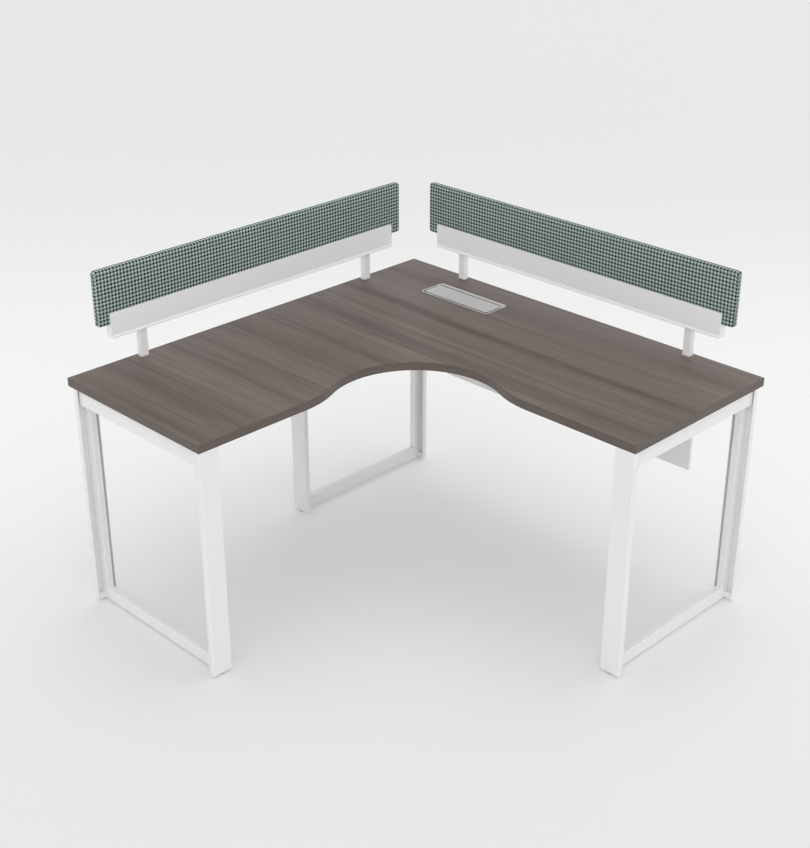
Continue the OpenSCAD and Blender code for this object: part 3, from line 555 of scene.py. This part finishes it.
# The small rings that close the socket's floor and the tip of the shank, as shares.
SOCKET_CENTRE = 0.2
SHANK_TIP = 0.3
# In a solid, points past this share of its widest radius are the head's. Points this near
# its end, in metres, belong to the end face.
HEAD_SHARE = 0.98
END_FACE_REACH = 1e-5


def solids_of(node):
    """The points of each separate solid of a node. Points at one place are one point, and
    each face hands the lowest label of its corners to all of them until none changes."""
    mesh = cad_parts[node].data
    points = np.empty(3 * len(mesh.vertices))
    mesh.vertices.foreach_get("co", points)
    points = points.reshape(-1, 3)
    corners = np.empty(len(mesh.loops), int)
    mesh.loops.foreach_get("vertex_index", corners)
    places, shared = np.unique(points.round(6), axis=0, return_inverse=True)
    faces = shared.ravel()[corners].reshape(-1, 3)
    label, before = np.arange(len(places)), None
    while before is None or (label != before).any():
        before = label.copy()
        np.minimum.at(label, faces.ravel(), np.repeat(label[faces].min(1), 3))
    return [places[label == one] for one in np.unique(label)]


def socket_screw(head_radius, head_height, shank_radius, length):
    """Rings of a button head screw along Z, its head under z = 0: from the floor of its
    hexagon socket over the dome, a quarter of an ellipse, to the tip of the shank."""
    angle = turn_angles(SCREW_SIDES)
    socket = hexagon(angle, SOCKET_FLATS * head_radius, 0.0)
    circle = np.ones(SCREW_SIDES)
    lip = SOCKET_LIP * head_radius
    arc = np.linspace(0.0, np.pi / 2, DOME_RINGS)
    rim = HEAD_RIM * head_height
    dome = [(circle * (lip + (head_radius - lip) * np.sin(t)),
             -head_height + (head_height - rim) * (1 - np.cos(t))) for t in arc]
    rings = [(SOCKET_CENTRE * socket, -SOCKET_FLOOR * head_height),
             (socket, -SOCKET_FLOOR * head_height),
             (socket, -SOCKET_MOUTH * head_height), *dome,
             (circle * head_radius, -HEAD_CHAMFER * head_height),
             (circle * (1 - HEAD_CHAMFER) * head_radius, 0.0),
             (circle * shank_radius, 0.0), (circle * shank_radius, length - shank_radius),
             (circle * SHANK_TIP * shank_radius, length)]
    radius, height = zip(*rings)
    return rings_about_z(np.array(radius), height, angle)


def screws_for(node):
    """Socket screws in place of a node's plain ones, each as wide and long as its solid."""
    all_points, all_faces, count = [], [], 0
    for solid in solids_of(node):
        axis = int(np.argmax(np.ptp(solid, axis=0)))
        cross = [k for k in range(3) if k != axis]
        middle = (solid.min(0) + solid.max(0)) / 2
        off = np.linalg.norm((solid - middle)[:, cross], axis=1)
        head = solid[off > HEAD_SHARE * off.max()][:, axis]
        head_first = head.mean() < middle[axis]
        bottom, top = (head.min(), head.max()) if head_first else (head.max(), head.min())
        end = solid[:, axis].max() if head_first else solid[:, axis].min()
        shank = off[np.abs(solid[:, axis] - end) < END_FACE_REACH].max()
        rings = socket_screw(off.max(), abs(top - bottom), shank, abs(end - top))
        points = np.zeros(rings.shape)
        points[..., axis] = top + rings[..., 2] * (1 if head_first else -1)
        points[..., cross[0]] = middle[cross[0]] + rings[..., 0]
        mirrored = (axis == 1) == head_first
        points[..., cross[1]] = middle[cross[1]] + rings[..., 1] * (-1 if mirrored else 1)
        all_points.append(points.reshape(-1, 3))
        all_faces += ring_faces(*rings.shape[:2], first=count)
        count += rings.shape[0] * rings.shape[1]
    piece = mesh_piece(f"{node}_socket_head", np.concatenate(all_points), all_faces, "desk",
                       zinc)
    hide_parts(node)


for screws in ("beam_screws", "worktop_screws"):
    screws_for(screws)


# Worktop: one L-shaped board faced with a grey-brown wood laminate. Its grain runs along
# the main wing over the whole top, in broad soft bands with fine dark lines between them.

GRAIN_LIGHT = (0.218, 0.178, 0.156)
GRAIN_DARK = (0.071, 0.0505, 0.0420)
GRAIN_WARM = (0.174, 0.134, 0.105)
GRAIN_LIGHTNESS = 0.985
# Each band's place across the board and half width in metres, and how dark it is.
GRAIN_BANDS = ((0.612, 0.024, 0.40), (0.500, 0.006, 0.45), (0.366, 0.017, 0.75),
               (0.232, 0.006, 0.45), (0.172, 0.030, 0.62), (0.010, 0.022, 0.55),
               (-0.108, 0.018, 0.45), (-0.250, 0.034, 0.35), (-0.346, 0.013, 0.62),
               (-0.497, 0.006, 0.45), (-0.552, 0.030, 0.62), (-0.672, 0.016, 0.40))
BAND_DEPTH = 0.52
# How strong a band is: least, and by the broad and the medium streaks.
BAND_FADE = (0.55, 0.45, 0.5)
# How far the lines wander sideways in metres, and how often over a metre.
WANDERS = ((0.050, (1.1, 2.2, 1.0)), (0.010, (3.0, 11.0, 5.0)))
# Streaks from broad to hair fine: features a metre along and across the board, octaves,
# roughness, and share of the tone.
STREAKS = ((0.55, 15.0, 2.0, 0.55, 0.80), (1.3, 62.0, 4.0, 0.72, 1.10),
           (2.6, 260.0, 3.0, 0.65, 0.95), (11.0, 900.0, 2.0, 0.60, 0.60))
WARM_STREAKS = (0.5, 5.0, 1.0, 0.55)
WARM_START, WARM_RISE, WARM_MOST = 0.46, 3.0, 0.75
PORE_STREAKS = (26.0, 1500.0, 1.0, 0.55)
PRESS_STREAKS = (60.0, 500.0, 2.0, 0.55)
PORE_LIMIT = 0.33
PORE_TONE = 0.22
PRESS_DEPTH = 0.00006
# Mean roughness, and its change by the pores and by the fine streaks.
BOARD_ROUGHNESS = (0.46, 0.10, 0.12)
BOARD_SPECULAR = 0.35


def held(value, least, most):
    """A value kept between two numbers."""
    return value.math("MAXIMUM", least).math("MINIMUM", most)


def laminate(name, lightness, bands):
    """Printed wood grain: bands and streaks of noise stretched along X, drawn out of line
    by a slow noise, with fine pores pressed into the surface. Each band is a bell across
    the board, broken up by the broad and the medium streaks."""
    board = Finish(name)
    along, drawn = (board.node("ShaderNodeSeparateXYZ", {}, (board.place(),), output=axis)
                    for axis in "XY")
    for reach, stretch in WANDERS:
        drawn = drawn + (board.noise(stretch, detail=2.0) - 0.5) * reach

    def streaks(along_scale, across_scale, octaves, rough):
        scaled = (along * along_scale, drawn * across_scale, 0.0)
        spot = board.node("ShaderNodeCombineXYZ", {}, scaled)
        return board.noise(None, octaves, rough, place=spot)

    layers = [streaks(*streak[:4]) for streak in STREAKS]
    broad, medium, fine = layers[:3]
    tone = 0.5
    for layer, streak in zip(layers, STREAKS):
        tone = tone + (layer - 0.5) * streak[4]
    fade = summed(BAND_FADE, broad, medium - 0.5)
    for centre, half_width, depth in bands:
        tone = tone - bell(drawn, centre, half_width) * fade * (depth * BAND_DEPTH)
    warmth = held((streaks(*WARM_STREAKS) - WARM_START) * WARM_RISE, 0.0, WARM_MOST)
    light = board.blend(warmth, GRAIN_LIGHT, GRAIN_WARM)
    colour = board.blend(held(tone, 0.0, 1.0), GRAIN_DARK, light)
    pores = streaks(*PORE_STREAKS) < PORE_LIMIT
    colour = board.shade(colour, (1.0 - pores * PORE_TONE) * lightness)
    height = (streaks(*PRESS_STREAKS) + 1.0 - pores) * 0.5
    return board.close(colour, summed(BOARD_ROUGHNESS, pores, fine - 0.5),
                       board.bump(height, PRESS_DEPTH), Specular_IOR_Level=BOARD_SPECULAR)


dress(["worktop"], laminate("wood_laminate", GRAIN_LIGHTNESS, GRAIN_BANDS))


# Edge band: a two millimetre strip in the colour of the board, glued round its edge, with
# its own fine lines along its length.

EDGE_COLOUR = (0.118, 0.093, 0.081)
EDGE_TONE = (0.50, 0.64, 0.38)
EDGE_ROUGHNESS = (0.44, 0.12)
# Heights of the bands along the top and the bottom arris, and how much painted shade
# darkens each.
TOP_ARRIS = 0.0015
BOTTOM_ARRIS = 0.0025
TOP_ARRIS_SHADE = 0.10
BOTTOM_ARRIS_SHADE = 0.14
# Features a metre of the lines, of the broad changes between them and of the fine grain.
EDGE_LINES = (9.0, 9.0, 520.0)
EDGE_BROAD = (3.0, 3.0, 120.0)
EDGE_GRAIN = (300.0, 300.0, 1500.0)
EDGE_GRAIN_DEPTH = 0.00003


def edge_strip(name, colour, low, high):
    """Edge band: lines that run round the board, so they change fast only with height.
    It is darker along both arrises: painted shade."""
    strip = Finish(name)
    lines = strip.noise(EDGE_LINES, detail=3.0, rough=0.6)
    broad = strip.noise(EDGE_BROAD, detail=2.0)
    grain = strip.noise(EDGE_GRAIN, detail=1.0)
    height = strip.node("ShaderNodeSeparateXYZ", {}, (strip.place(),), output="Z")
    # Painted shade along both arrises of the band.
    arris_shade = ((height > high[2] - TOP_ARRIS) * TOP_ARRIS_SHADE
             + (height < low[2] + BOTTOM_ARRIS) * BOTTOM_ARRIS_SHADE)
    tone = summed(EDGE_TONE, lines, broad) - arris_shade
    return strip.close(strip.shade(colour, tone), summed(EDGE_ROUGHNESS, grain - 0.5),
                       strip.bump(grain, EDGE_GRAIN_DEPTH),
                       Specular_IOR_Level=BOARD_SPECULAR)


dress(["edge_band"], edge_strip("edge_band_strip", EDGE_COLOUR, *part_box("edge_band")))


# Modesty panel: steel sheet under the back of the main wing, with folded edges, in the
# white coat. Four screws through its top flange hold it.

dress(["modesty_panel"], white_coat)
screws_for("modesty_screws")


# Cable port: an aluminium frame let into the worktop, with a lid on a hinge pin. Their
# faces are satin anodised and brushed along their length; the well and the lid's core are
# painted black as shade for the dark gaps round the lid. Angle clamps hold the frame from
# below.

ALUMINIUM = (0.545, 0.541, 0.533)
# The well's black, also in the lid's core: painted shade that darkens the gaps round the
# lid.
WELL_SHADE_BLACK = (0.010, 0.010, 0.011)
METAL_SHARE = 0.40
# Tone and roughness, and their changes by the brush marks and by the clouds.
SATIN_TONE = (0.92, 0.12, 0.04)
SATIN_ROUGHNESS = (0.42, 0.20, 0.05)
# Features a metre of the brush marks and of the slow clouds.
BRUSH_MARKS = (14.0, 2600.0, 2600.0)
BRUSH_MARK_DEPTH = 0.000012
ANODISE_CLOUDS = (8.0, 8.0, 8.0)
# How thick the bright skin of the lid and of the rim is, and how wide the rim is at the
# sides and at the back.
LID_SKIN = 0.0003
RIM_SKIN = 0.0020
RIM_WIDTH = 0.0045
WELL_BACK_RIM = 0.0138


def anodised(name, colour, black, low, high):
    """Satin anodised aluminium: fine brush marks along X in its tone, gloss and surface.
    It is black in the box between two corners, where each of six comparisons holds: a
    painted shade."""
    satin = Finish(name)
    brush = satin.noise(BRUSH_MARKS, detail=3.0, rough=0.6)
    cloud = satin.noise(ANODISE_CLOUDS, detail=2.0)
    tone = summed(SATIN_TONE, brush, cloud)
    roughness = summed(SATIN_ROUGHNESS, brush - 0.5, cloud - 0.5)
    inside = 1.0
    for axis, least, most in zip("XYZ", low, high):
        place = satin.node("ShaderNodeSeparateXYZ", {}, (satin.place(),), output=axis)
        inside = (place > float(least)) * (place < float(most)) * inside
    metal = METAL_SHARE - inside * METAL_SHARE
    # Black inside the box: painted shade of the gaps round the lid.
    colour = satin.blend(inside, satin.shade(colour, tone), satin.shade(black, tone))
    return satin.close(colour, roughness, satin.bump(brush, BRUSH_MARK_DEPTH),
                       Metallic=metal)


low, high = (np.array(corner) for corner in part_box("port_frame"))
dress(["port_frame"], anodised("anodised_frame", ALUMINIUM, WELL_SHADE_BLACK,
                               low + (RIM_WIDTH, RIM_WIDTH, -RIM_WIDTH),
                               high - (RIM_WIDTH, WELL_BACK_RIM, RIM_SKIN)))
low, high = (np.array(corner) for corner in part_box("port_lid"))
dress(["port_lid"], anodised("anodised_lid", ALUMINIUM, WELL_SHADE_BLACK, low - RIM_WIDTH,
                             high + (RIM_WIDTH, RIM_WIDTH, -LID_SKIN)))
dress(["port_clamps", "port_hinge_pin"], zinc)
screws_for("port_clamp_screws")


# Brush strip of the port: black nylon bristles set in a holder behind the front wall, so
# that cables pass out under the closed lid.

BRISTLE_BLACK = (0.012, 0.012, 0.013)
BRISTLE_ROWS = 5
BRISTLES_PER_ROW = 260
BRISTLE_RADIUS = 0.00019
BRISTLE_LEAN = 0.00022
BRISTLE_SIDES = 4
BRISTLE_ROOT = 0.0005
BRISTLE_SHORTEST = 0.0006
# Rings of a bristle: share of its height, and share of its radius.
BRISTLE_RINGS = ((0.0, 1.0), (0.55, 0.9), (1.0, 0.55))
BRISTLE_SEED = 7
HOLDER_SHARE = 1 / 3
HOLDER_EDGE = 0.0003

black_nylon = nylon("bristle_nylon", BRISTLE_BLACK)
low, high = (np.array(corner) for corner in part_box("port_brush"))
holder_top = low[2] + (high[2] - low[2]) * HOLDER_SHARE
draw = np.random.default_rng(BRISTLE_SEED)
row, place = np.indices((BRISTLE_ROWS, BRISTLES_PER_ROW))
pitch = (high[0] - low[0] - 4 * BRISTLE_RADIUS) / BRISTLES_PER_ROW
# Every second row stands half a pitch further along.
root = np.stack([low[0] + 2 * BRISTLE_RADIUS + (place + 0.5 * (row % 2) + 0.25) * pitch,
                 low[1] + (row + 0.5) * (high[1] - low[1]) / BRISTLE_ROWS,
                 np.full(row.shape, holder_top - BRISTLE_ROOT)], -1).reshape(-1, 3)
lean = draw.uniform(-BRISTLE_LEAN, BRISTLE_LEAN, (len(root), 2))
tip_height = high[2] - holder_top - draw.uniform(0.0, BRISTLE_SHORTEST, len(root))
level, taper = np.array(BRISTLE_RINGS).T
taper = taper * BRISTLE_RADIUS
angle = turn_angles(BRISTLE_SIDES) + np.pi / 4
# A bristle's rings go up from its root, lean by the square of the height, and taper.
bristles = np.zeros((len(root), len(level), BRISTLE_SIDES, 3))
bristles += root[:, None, None]
bristles[..., :2] += lean[:, None, None] * (level**2)[:, None, None]
bristles[..., 2] += (tip_height[:, None] * level)[:, :, None]
bristles[..., 0] += taper[:, None] * np.cos(angle)
bristles[..., 1] += taper[:, None] * np.sin(angle)
one = np.array(ring_faces(len(level), BRISTLE_SIDES))
starts = np.arange(len(root)) * len(level) * BRISTLE_SIDES
bristle_faces = (one + starts[:, None, None]).reshape(-1, 4)
# The holder is four rings of a rectangle, drawn in at the foot and at the top.
inset = np.array([HOLDER_EDGE, 0.0, 0.0, HOLDER_EDGE])[:, None]
holder_z = np.array([low[2], low[2] + HOLDER_EDGE, holder_top - HOLDER_EDGE, holder_top])
left_x, front_y = low[0] + inset, low[1] + inset
right_x, back_y = high[0] - inset, high[1] - inset
holder = np.stack([np.hstack([left_x, right_x, right_x, left_x]),
                   np.hstack([front_y, front_y, back_y, back_y]),
                   np.repeat(holder_z[:, None], 4, axis=1)], -1)
brush_points = np.concatenate([bristles.reshape(-1, 3), holder.reshape(-1, 3)])
brush_faces = bristle_faces.tolist() + ring_faces(4, 4, first=bristles.size // 3)
brush = mesh_piece("port_brush_strip", brush_points, brush_faces, "desk",
                   black_nylon)
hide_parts("port_brush")


# Screen covers: thin foam and a houndstooth cloth, dark green and pale mint, pulled tight
# over a chipboard core. The cloth goes over the top edge from front to back and closes
# under the rail.

CLOTH_LIGHT = (0.505, 0.620, 0.585)
CLOTH_DARK = (0.002, 0.009, 0.007)
CHECK_REPEAT = 0.01143
THREADS_PER_REPEAT = 8
FIBRES_PER_METRE = 5000.0
CLOTH_CLOUDS_PER_METRE = 9.0
WEAVE_DEPTH = 0.00035
# Least tone, and what the thread's height (painted shade, darker at a thread's sides), its
# own tone, the fibres and the clouds add.
CLOTH_TONE = (0.66, 0.22, 0.16, 0.16, 0.06)
CLOTH_ROUGHNESS = (0.85, 0.15)
FIBRE_HEIGHT = 0.2
CLOTH_SPECULAR = 0.08
SHEEN = 0.05
SHEEN_ROUGHNESS = 0.5


def houndstooth(name, light, dark):
    """Houndstooth: four dark and four light threads in turn, both ways, in a two by two
    twill. A thread shows where it lies on top, and its height is a parabola across it. The
    height also lightens a thread's crown and darkens its sides, a painted shade."""
    cloth = Finish(name)
    spot = cloth.node("ShaderNodeUVMap", {"uv_map": "cloth"})
    u, v = (cloth.node("ShaderNodeSeparateXYZ", {}, (spot,), output=axis) for axis in "XY")
    per_metre = THREADS_PER_REPEAT / CHECK_REPEAT
    warp, weft = u * per_metre, v * per_metre
    warp_number, weft_number = warp.math("FLOOR"), weft.math("FLOOR")
    half = THREADS_PER_REPEAT / 2
    warp_dark = (warp_number % THREADS_PER_REPEAT) < half
    weft_dark = (weft_number % THREADS_PER_REPEAT) < half
    warp_on_top = ((warp_number + weft_number) % half) < half / 2
    is_dark = warp_dark * warp_on_top + weft_dark * (1.0 - warp_on_top)
    thread = (warp_number * warp_on_top, weft_number * (1.0 - warp_on_top), 0.0)
    thread = cloth.node("ShaderNodeCombineXYZ", {}, thread)
    noise_of_three = {"noise_dimensions": "3D"}
    thread_tone = cloth.node("ShaderNodeTexWhiteNoise", noise_of_three, {"Vector": thread})
    fibre = cloth.noise((FIBRES_PER_METRE,) * 3, detail=2.0)
    cloud = cloth.noise((CLOTH_CLOUDS_PER_METRE,) * 3, detail=2.0)
    warp_round = (warp % 1.0) * 2.0 - 1.0
    weft_round = (weft % 1.0) * 2.0 - 1.0
    warp_height = 1.0 - warp_round * warp_round
    weft_height = 1.0 - weft_round * weft_round
    height = warp_height * warp_on_top + weft_height * (1.0 - warp_on_top)
    # The thread's height in the tone is painted shade: each thread darker towards its
    # sides.
    tone = summed(CLOTH_TONE, height, thread_tone, fibre, cloud)
    colour = cloth.shade(cloth.blend(is_dark, light, dark), tone)
    relief = height * (1 - FIBRE_HEIGHT) + fibre * FIBRE_HEIGHT
    return cloth.close(colour, summed(CLOTH_ROUGHNESS, fibre - 0.5),
                       cloth.bump(relief, WEAVE_DEPTH),
                       Specular_IOR_Level=CLOTH_SPECULAR, Sheen_Weight=SHEEN,
                       Sheen_Roughness=SHEEN_ROUGHNESS)


# The cover: corners seen from the front, rounding of its edges, and swell of its faces,
# which fades over a length at each end, with the powers that shape it up and along.
COVER_CORNER = 0.010
COVER_EDGE = 0.005
COVER_CROWN = 0.0012
CROWN_END = 0.06
CROWN_POWER_UP = 0.8
CROWN_POWER_ALONG = 0.5
# The rail pinches the cover: how deep along its top, and over what height and length.
PINCH_DEPTH = 0.0016
PINCH_HEIGHT = 0.0030
PINCH_END = 0.004
# Places of the rings from each end, and the widest gap between the others.
END_RINGS = (0.0, 0.0004, 0.0012, 0.0025, COVER_EDGE, 0.0075, COVER_CORNER)
RING_GAP = 0.02
# Points across half the flat foot, rows up a face, rows about the rail's top in pinch
# heights, and points of a rounding.
FOOT_SHARES = (0.0, 0.6)
FACE_ROWS = 26
PINCH_ROWS = (-2, -1, 0, 1, 2, 4)
ARC_POINTS = 7
COVER_SMOOTH = 60.0


def spaced(places, step):
    """Places from the first to the last given one, with no gap wider than the step."""
    parts = [np.linspace(here, there, max(2, int(np.ceil((there - here) / step)) + 1))
             for here, there in zip(places[:-1], places[1:])]
    return np.unique(np.concatenate(parts).round(7))


def rounding(radius, from_end):
    """How far a quarter circle stands back from its outer line, near an end."""
    return radius - np.sqrt(radius**2 - np.clip(radius - from_end, 0, None) ** 2)


def cover_surface(length, thick, height, rail_height, rail_half):
    """A cover along X about its middle, its foot at z = 0, as rings of a rounded rectangle.
    Towards the ends the half sizes shrink along quarter circles. Above the rail the faces
    swell by a power of a sine of the height times a power of the distance from the end,
    and along the rail's top they are pinched in by a bell of the height. Returns the
    rings, and the cloth's length along them and round them."""
    half = length / 2
    left = -half + np.array(END_RINGS)
    marks = [rail_half - PINCH_END, rail_half, half - COVER_CORNER]
    straight = spaced([-mark for mark in marks[::-1]] + marks, RING_GAP)
    along = np.concatenate([left, straight[1:-1], -left[::-1]])
    from_end = half - np.abs(along)
    thin = rounding(COVER_EDGE, from_end)
    # The back half of a section, from the middle of the foot over its back edge: share of
    # the flat foot, and the rounding's sine and one less its cosine.
    quarter = np.linspace(0, np.pi / 2, ARC_POINTS)
    foot = np.array([[share, 0.0, 0.0] for share in FOOT_SHARES])
    arc = np.stack([np.ones(ARC_POINTS), np.sin(quarter), 1 - np.cos(quarter)], -1)
    flat_share, out, up = np.concatenate([foot, arc]).T
    y = flat_share * (thick / 2 - COVER_EDGE) + out * (COVER_EDGE - thin[:, None])
    z_low = rounding(COVER_CORNER, from_end)[:, None] + up * COVER_EDGE
    z_high = height - z_low[:, ::-1]
    # The face between the roundings, with rows closer together about the rail's top.
    rows = rail_height + np.array(PINCH_ROWS) * PINCH_HEIGHT
    rows = (rows - COVER_EDGE) / (height - 2 * COVER_EDGE)
    shares = np.sort(np.concatenate([np.linspace(0, 1, FACE_ROWS)[1:-1], rows]))
    face_z = z_low[:, -1:] + (z_high[:, :1] - z_low[:, -1:]) * shares
    free = np.clip((face_z - rail_height) / (height - rail_height - COVER_EDGE), 0, 1)
    fade = np.clip(from_end / CROWN_END, 0, 1)[:, None] ** CROWN_POWER_ALONG
    swell = COVER_CROWN * np.sin(np.pi * free) ** CROWN_POWER_UP * fade
    pinch = PINCH_DEPTH * np.exp(-(((face_z - rail_height) / PINCH_HEIGHT) ** 2))
    pinch = pinch * np.clip((rail_half - np.abs(along)) / PINCH_END, 0, 1)[:, None]
    half_y = np.concatenate([y, y[:, -1:] + swell - pinch, y[:, ::-1]], 1)
    half_z = np.concatenate([z_low, face_z, z_high], 1)
    # The front half mirrors the back, and the two share the middles of foot and top.
    y = np.concatenate([-half_y, half_y[:, -2:0:-1]], 1)
    z = np.concatenate([half_z, half_z[:, -2:0:-1]], 1)
    rings = np.stack([np.repeat(along[:, None], y.shape[1], 1), y, z], -1)
    middle_ring = rings[len(rings) // 2]
    steps = np.diff(np.vstack([middle_ring, middle_ring[:1]])[:, 1:], axis=0)
    cloth_v = np.concatenate([[0.0], np.cumsum(np.linalg.norm(steps, axis=1))])
    cloth_u = np.concatenate([[0.0], np.cumsum(np.hypot(np.diff(along), np.diff(thin)))])
    return rings, cloth_u - cloth_u[-1] / 2, cloth_v


def padded_cover(name, node, along_axis, finish, rail_node):
    """The cover of a screen: its surface, closed at both ends by a ladder of faces between
    front and back, with the cloth's own lengths as its UV map."""
    low, high = (np.array(corner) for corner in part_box(node))
    rail_low, rail_high = (np.array(corner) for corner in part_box(rail_node))
    middle, size = (low + high) / 2, high - low
    rings, cloth_u, cloth_v = cover_surface(
        size[along_axis], size[1 - along_axis], size[2], rail_high[2] - low[2],
        (rail_high - rail_low)[along_axis] / 2)
    count, sides = rings.shape[:2]
    faces = ring_faces(count, sides, closed_ends=False)
    ring, side = np.indices((count - 1, sides))
    here_u, next_u = cloth_u[ring], cloth_u[ring + 1]
    here_v, next_v = cloth_v[side], cloth_v[side + 1]
    uv = np.stack([here_u, here_v, here_u, next_v, next_u, next_v, next_u, here_v], -1)
    uv = uv.reshape(-1, 2)
    rung = np.arange(1, sides // 2 - 1)
    rungs = np.stack([rung, rung + 1, sides - rung - 1, sides - rung], -1).tolist()
    ladder = [[0, 1, sides - 1], *rungs, [sides // 2 - 1, sides // 2, sides // 2 + 1]]
    for first, flip in ((0, False), ((count - 1) * sides, True)):
        for face in ladder:
            face = face if flip else face[::-1]
            faces.append([first + k for k in face])
            flat = rings.reshape(-1, 3)[[first + k for k in face]]
            uv = np.concatenate([uv, np.stack([flat[:, 0] + flat[:, 1], flat[:, 2]], -1)])
    points = rings.reshape(-1, 3).copy()
    if along_axis == 1:
        points = np.stack([-points[:, 1], points[:, 0], points[:, 2]], -1)
    points += (middle[0], middle[1], low[2])
    piece = mesh_piece(name, points, faces, "desk", finish, corner_uv=uv,
                       smooth=COVER_SMOOTH)
    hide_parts(node)


cloth = houndstooth("houndstooth_cloth", CLOTH_LIGHT, CLOTH_DARK)
padded_cover("right_screen_cloth", "right_screen_cover", 0, cloth,
             "right_screen_rail")
padded_cover("left_screen_cloth", "left_screen_cover", 1, cloth,
             "left_screen_rail")


# Screen cores: boards of raw chipboard, sawn to size, that stiffen the covers from inside.
# They are screwed to the rails from behind.

FLAKES_PER_METRE = 450.0
FLAKE_DARK = (0.30, 0.20, 0.11)
FLAKE_LIGHT = (0.52, 0.38, 0.23)
FLAKE_DEPTH = 0.0001
FLAKE_ROUGHNESS = (0.8, 0.1)


def chipboard(name):
    """Raw chipboard: pressed flakes in several browns."""
    board = Finish(name)
    inputs = {"Vector": board.place((FLAKES_PER_METRE,) * 3), "Scale": 1.0}
    flake = board.node("ShaderNodeTexVoronoi", {}, inputs, output="Color")
    tone = board.node("ShaderNodeSeparateColor", {}, (flake,), output=0)
    colour = board.blend(tone, FLAKE_DARK, FLAKE_LIGHT)
    return board.close(colour, summed(FLAKE_ROUGHNESS, tone - 0.5),
                       board.bump(tone, FLAKE_DEPTH))


dress(["left_screen_core", "right_screen_core"], chipboard("raw_chipboard"))


# Screen rails and posts: aluminium channel and bar in a silver-grey powder coat. The posts
# stand in plastic shoes and are bolted up through the worktop.

SILVER_COAT = (0.95, 0.948, 0.945)
SILVER_ROUGHNESS = 0.38
SILVER_SPARKLE = 0.05
SHOE_GREY = (0.66, 0.65, 0.64)

silver_coat = powder_coat("silver_powder_coat", SILVER_COAT, SILVER_ROUGHNESS,
                          SILVER_SPARKLE)
dress([f"{side}_screen_{part}" for side in ("left", "right") for part in ("rail", "posts")],
      silver_coat)
dress(["screen_shoes"], nylon("shoe_plastic", SHOE_GREY))
for screws in ("screen_bolts", "screen_screws"):
    screws_for(screws)


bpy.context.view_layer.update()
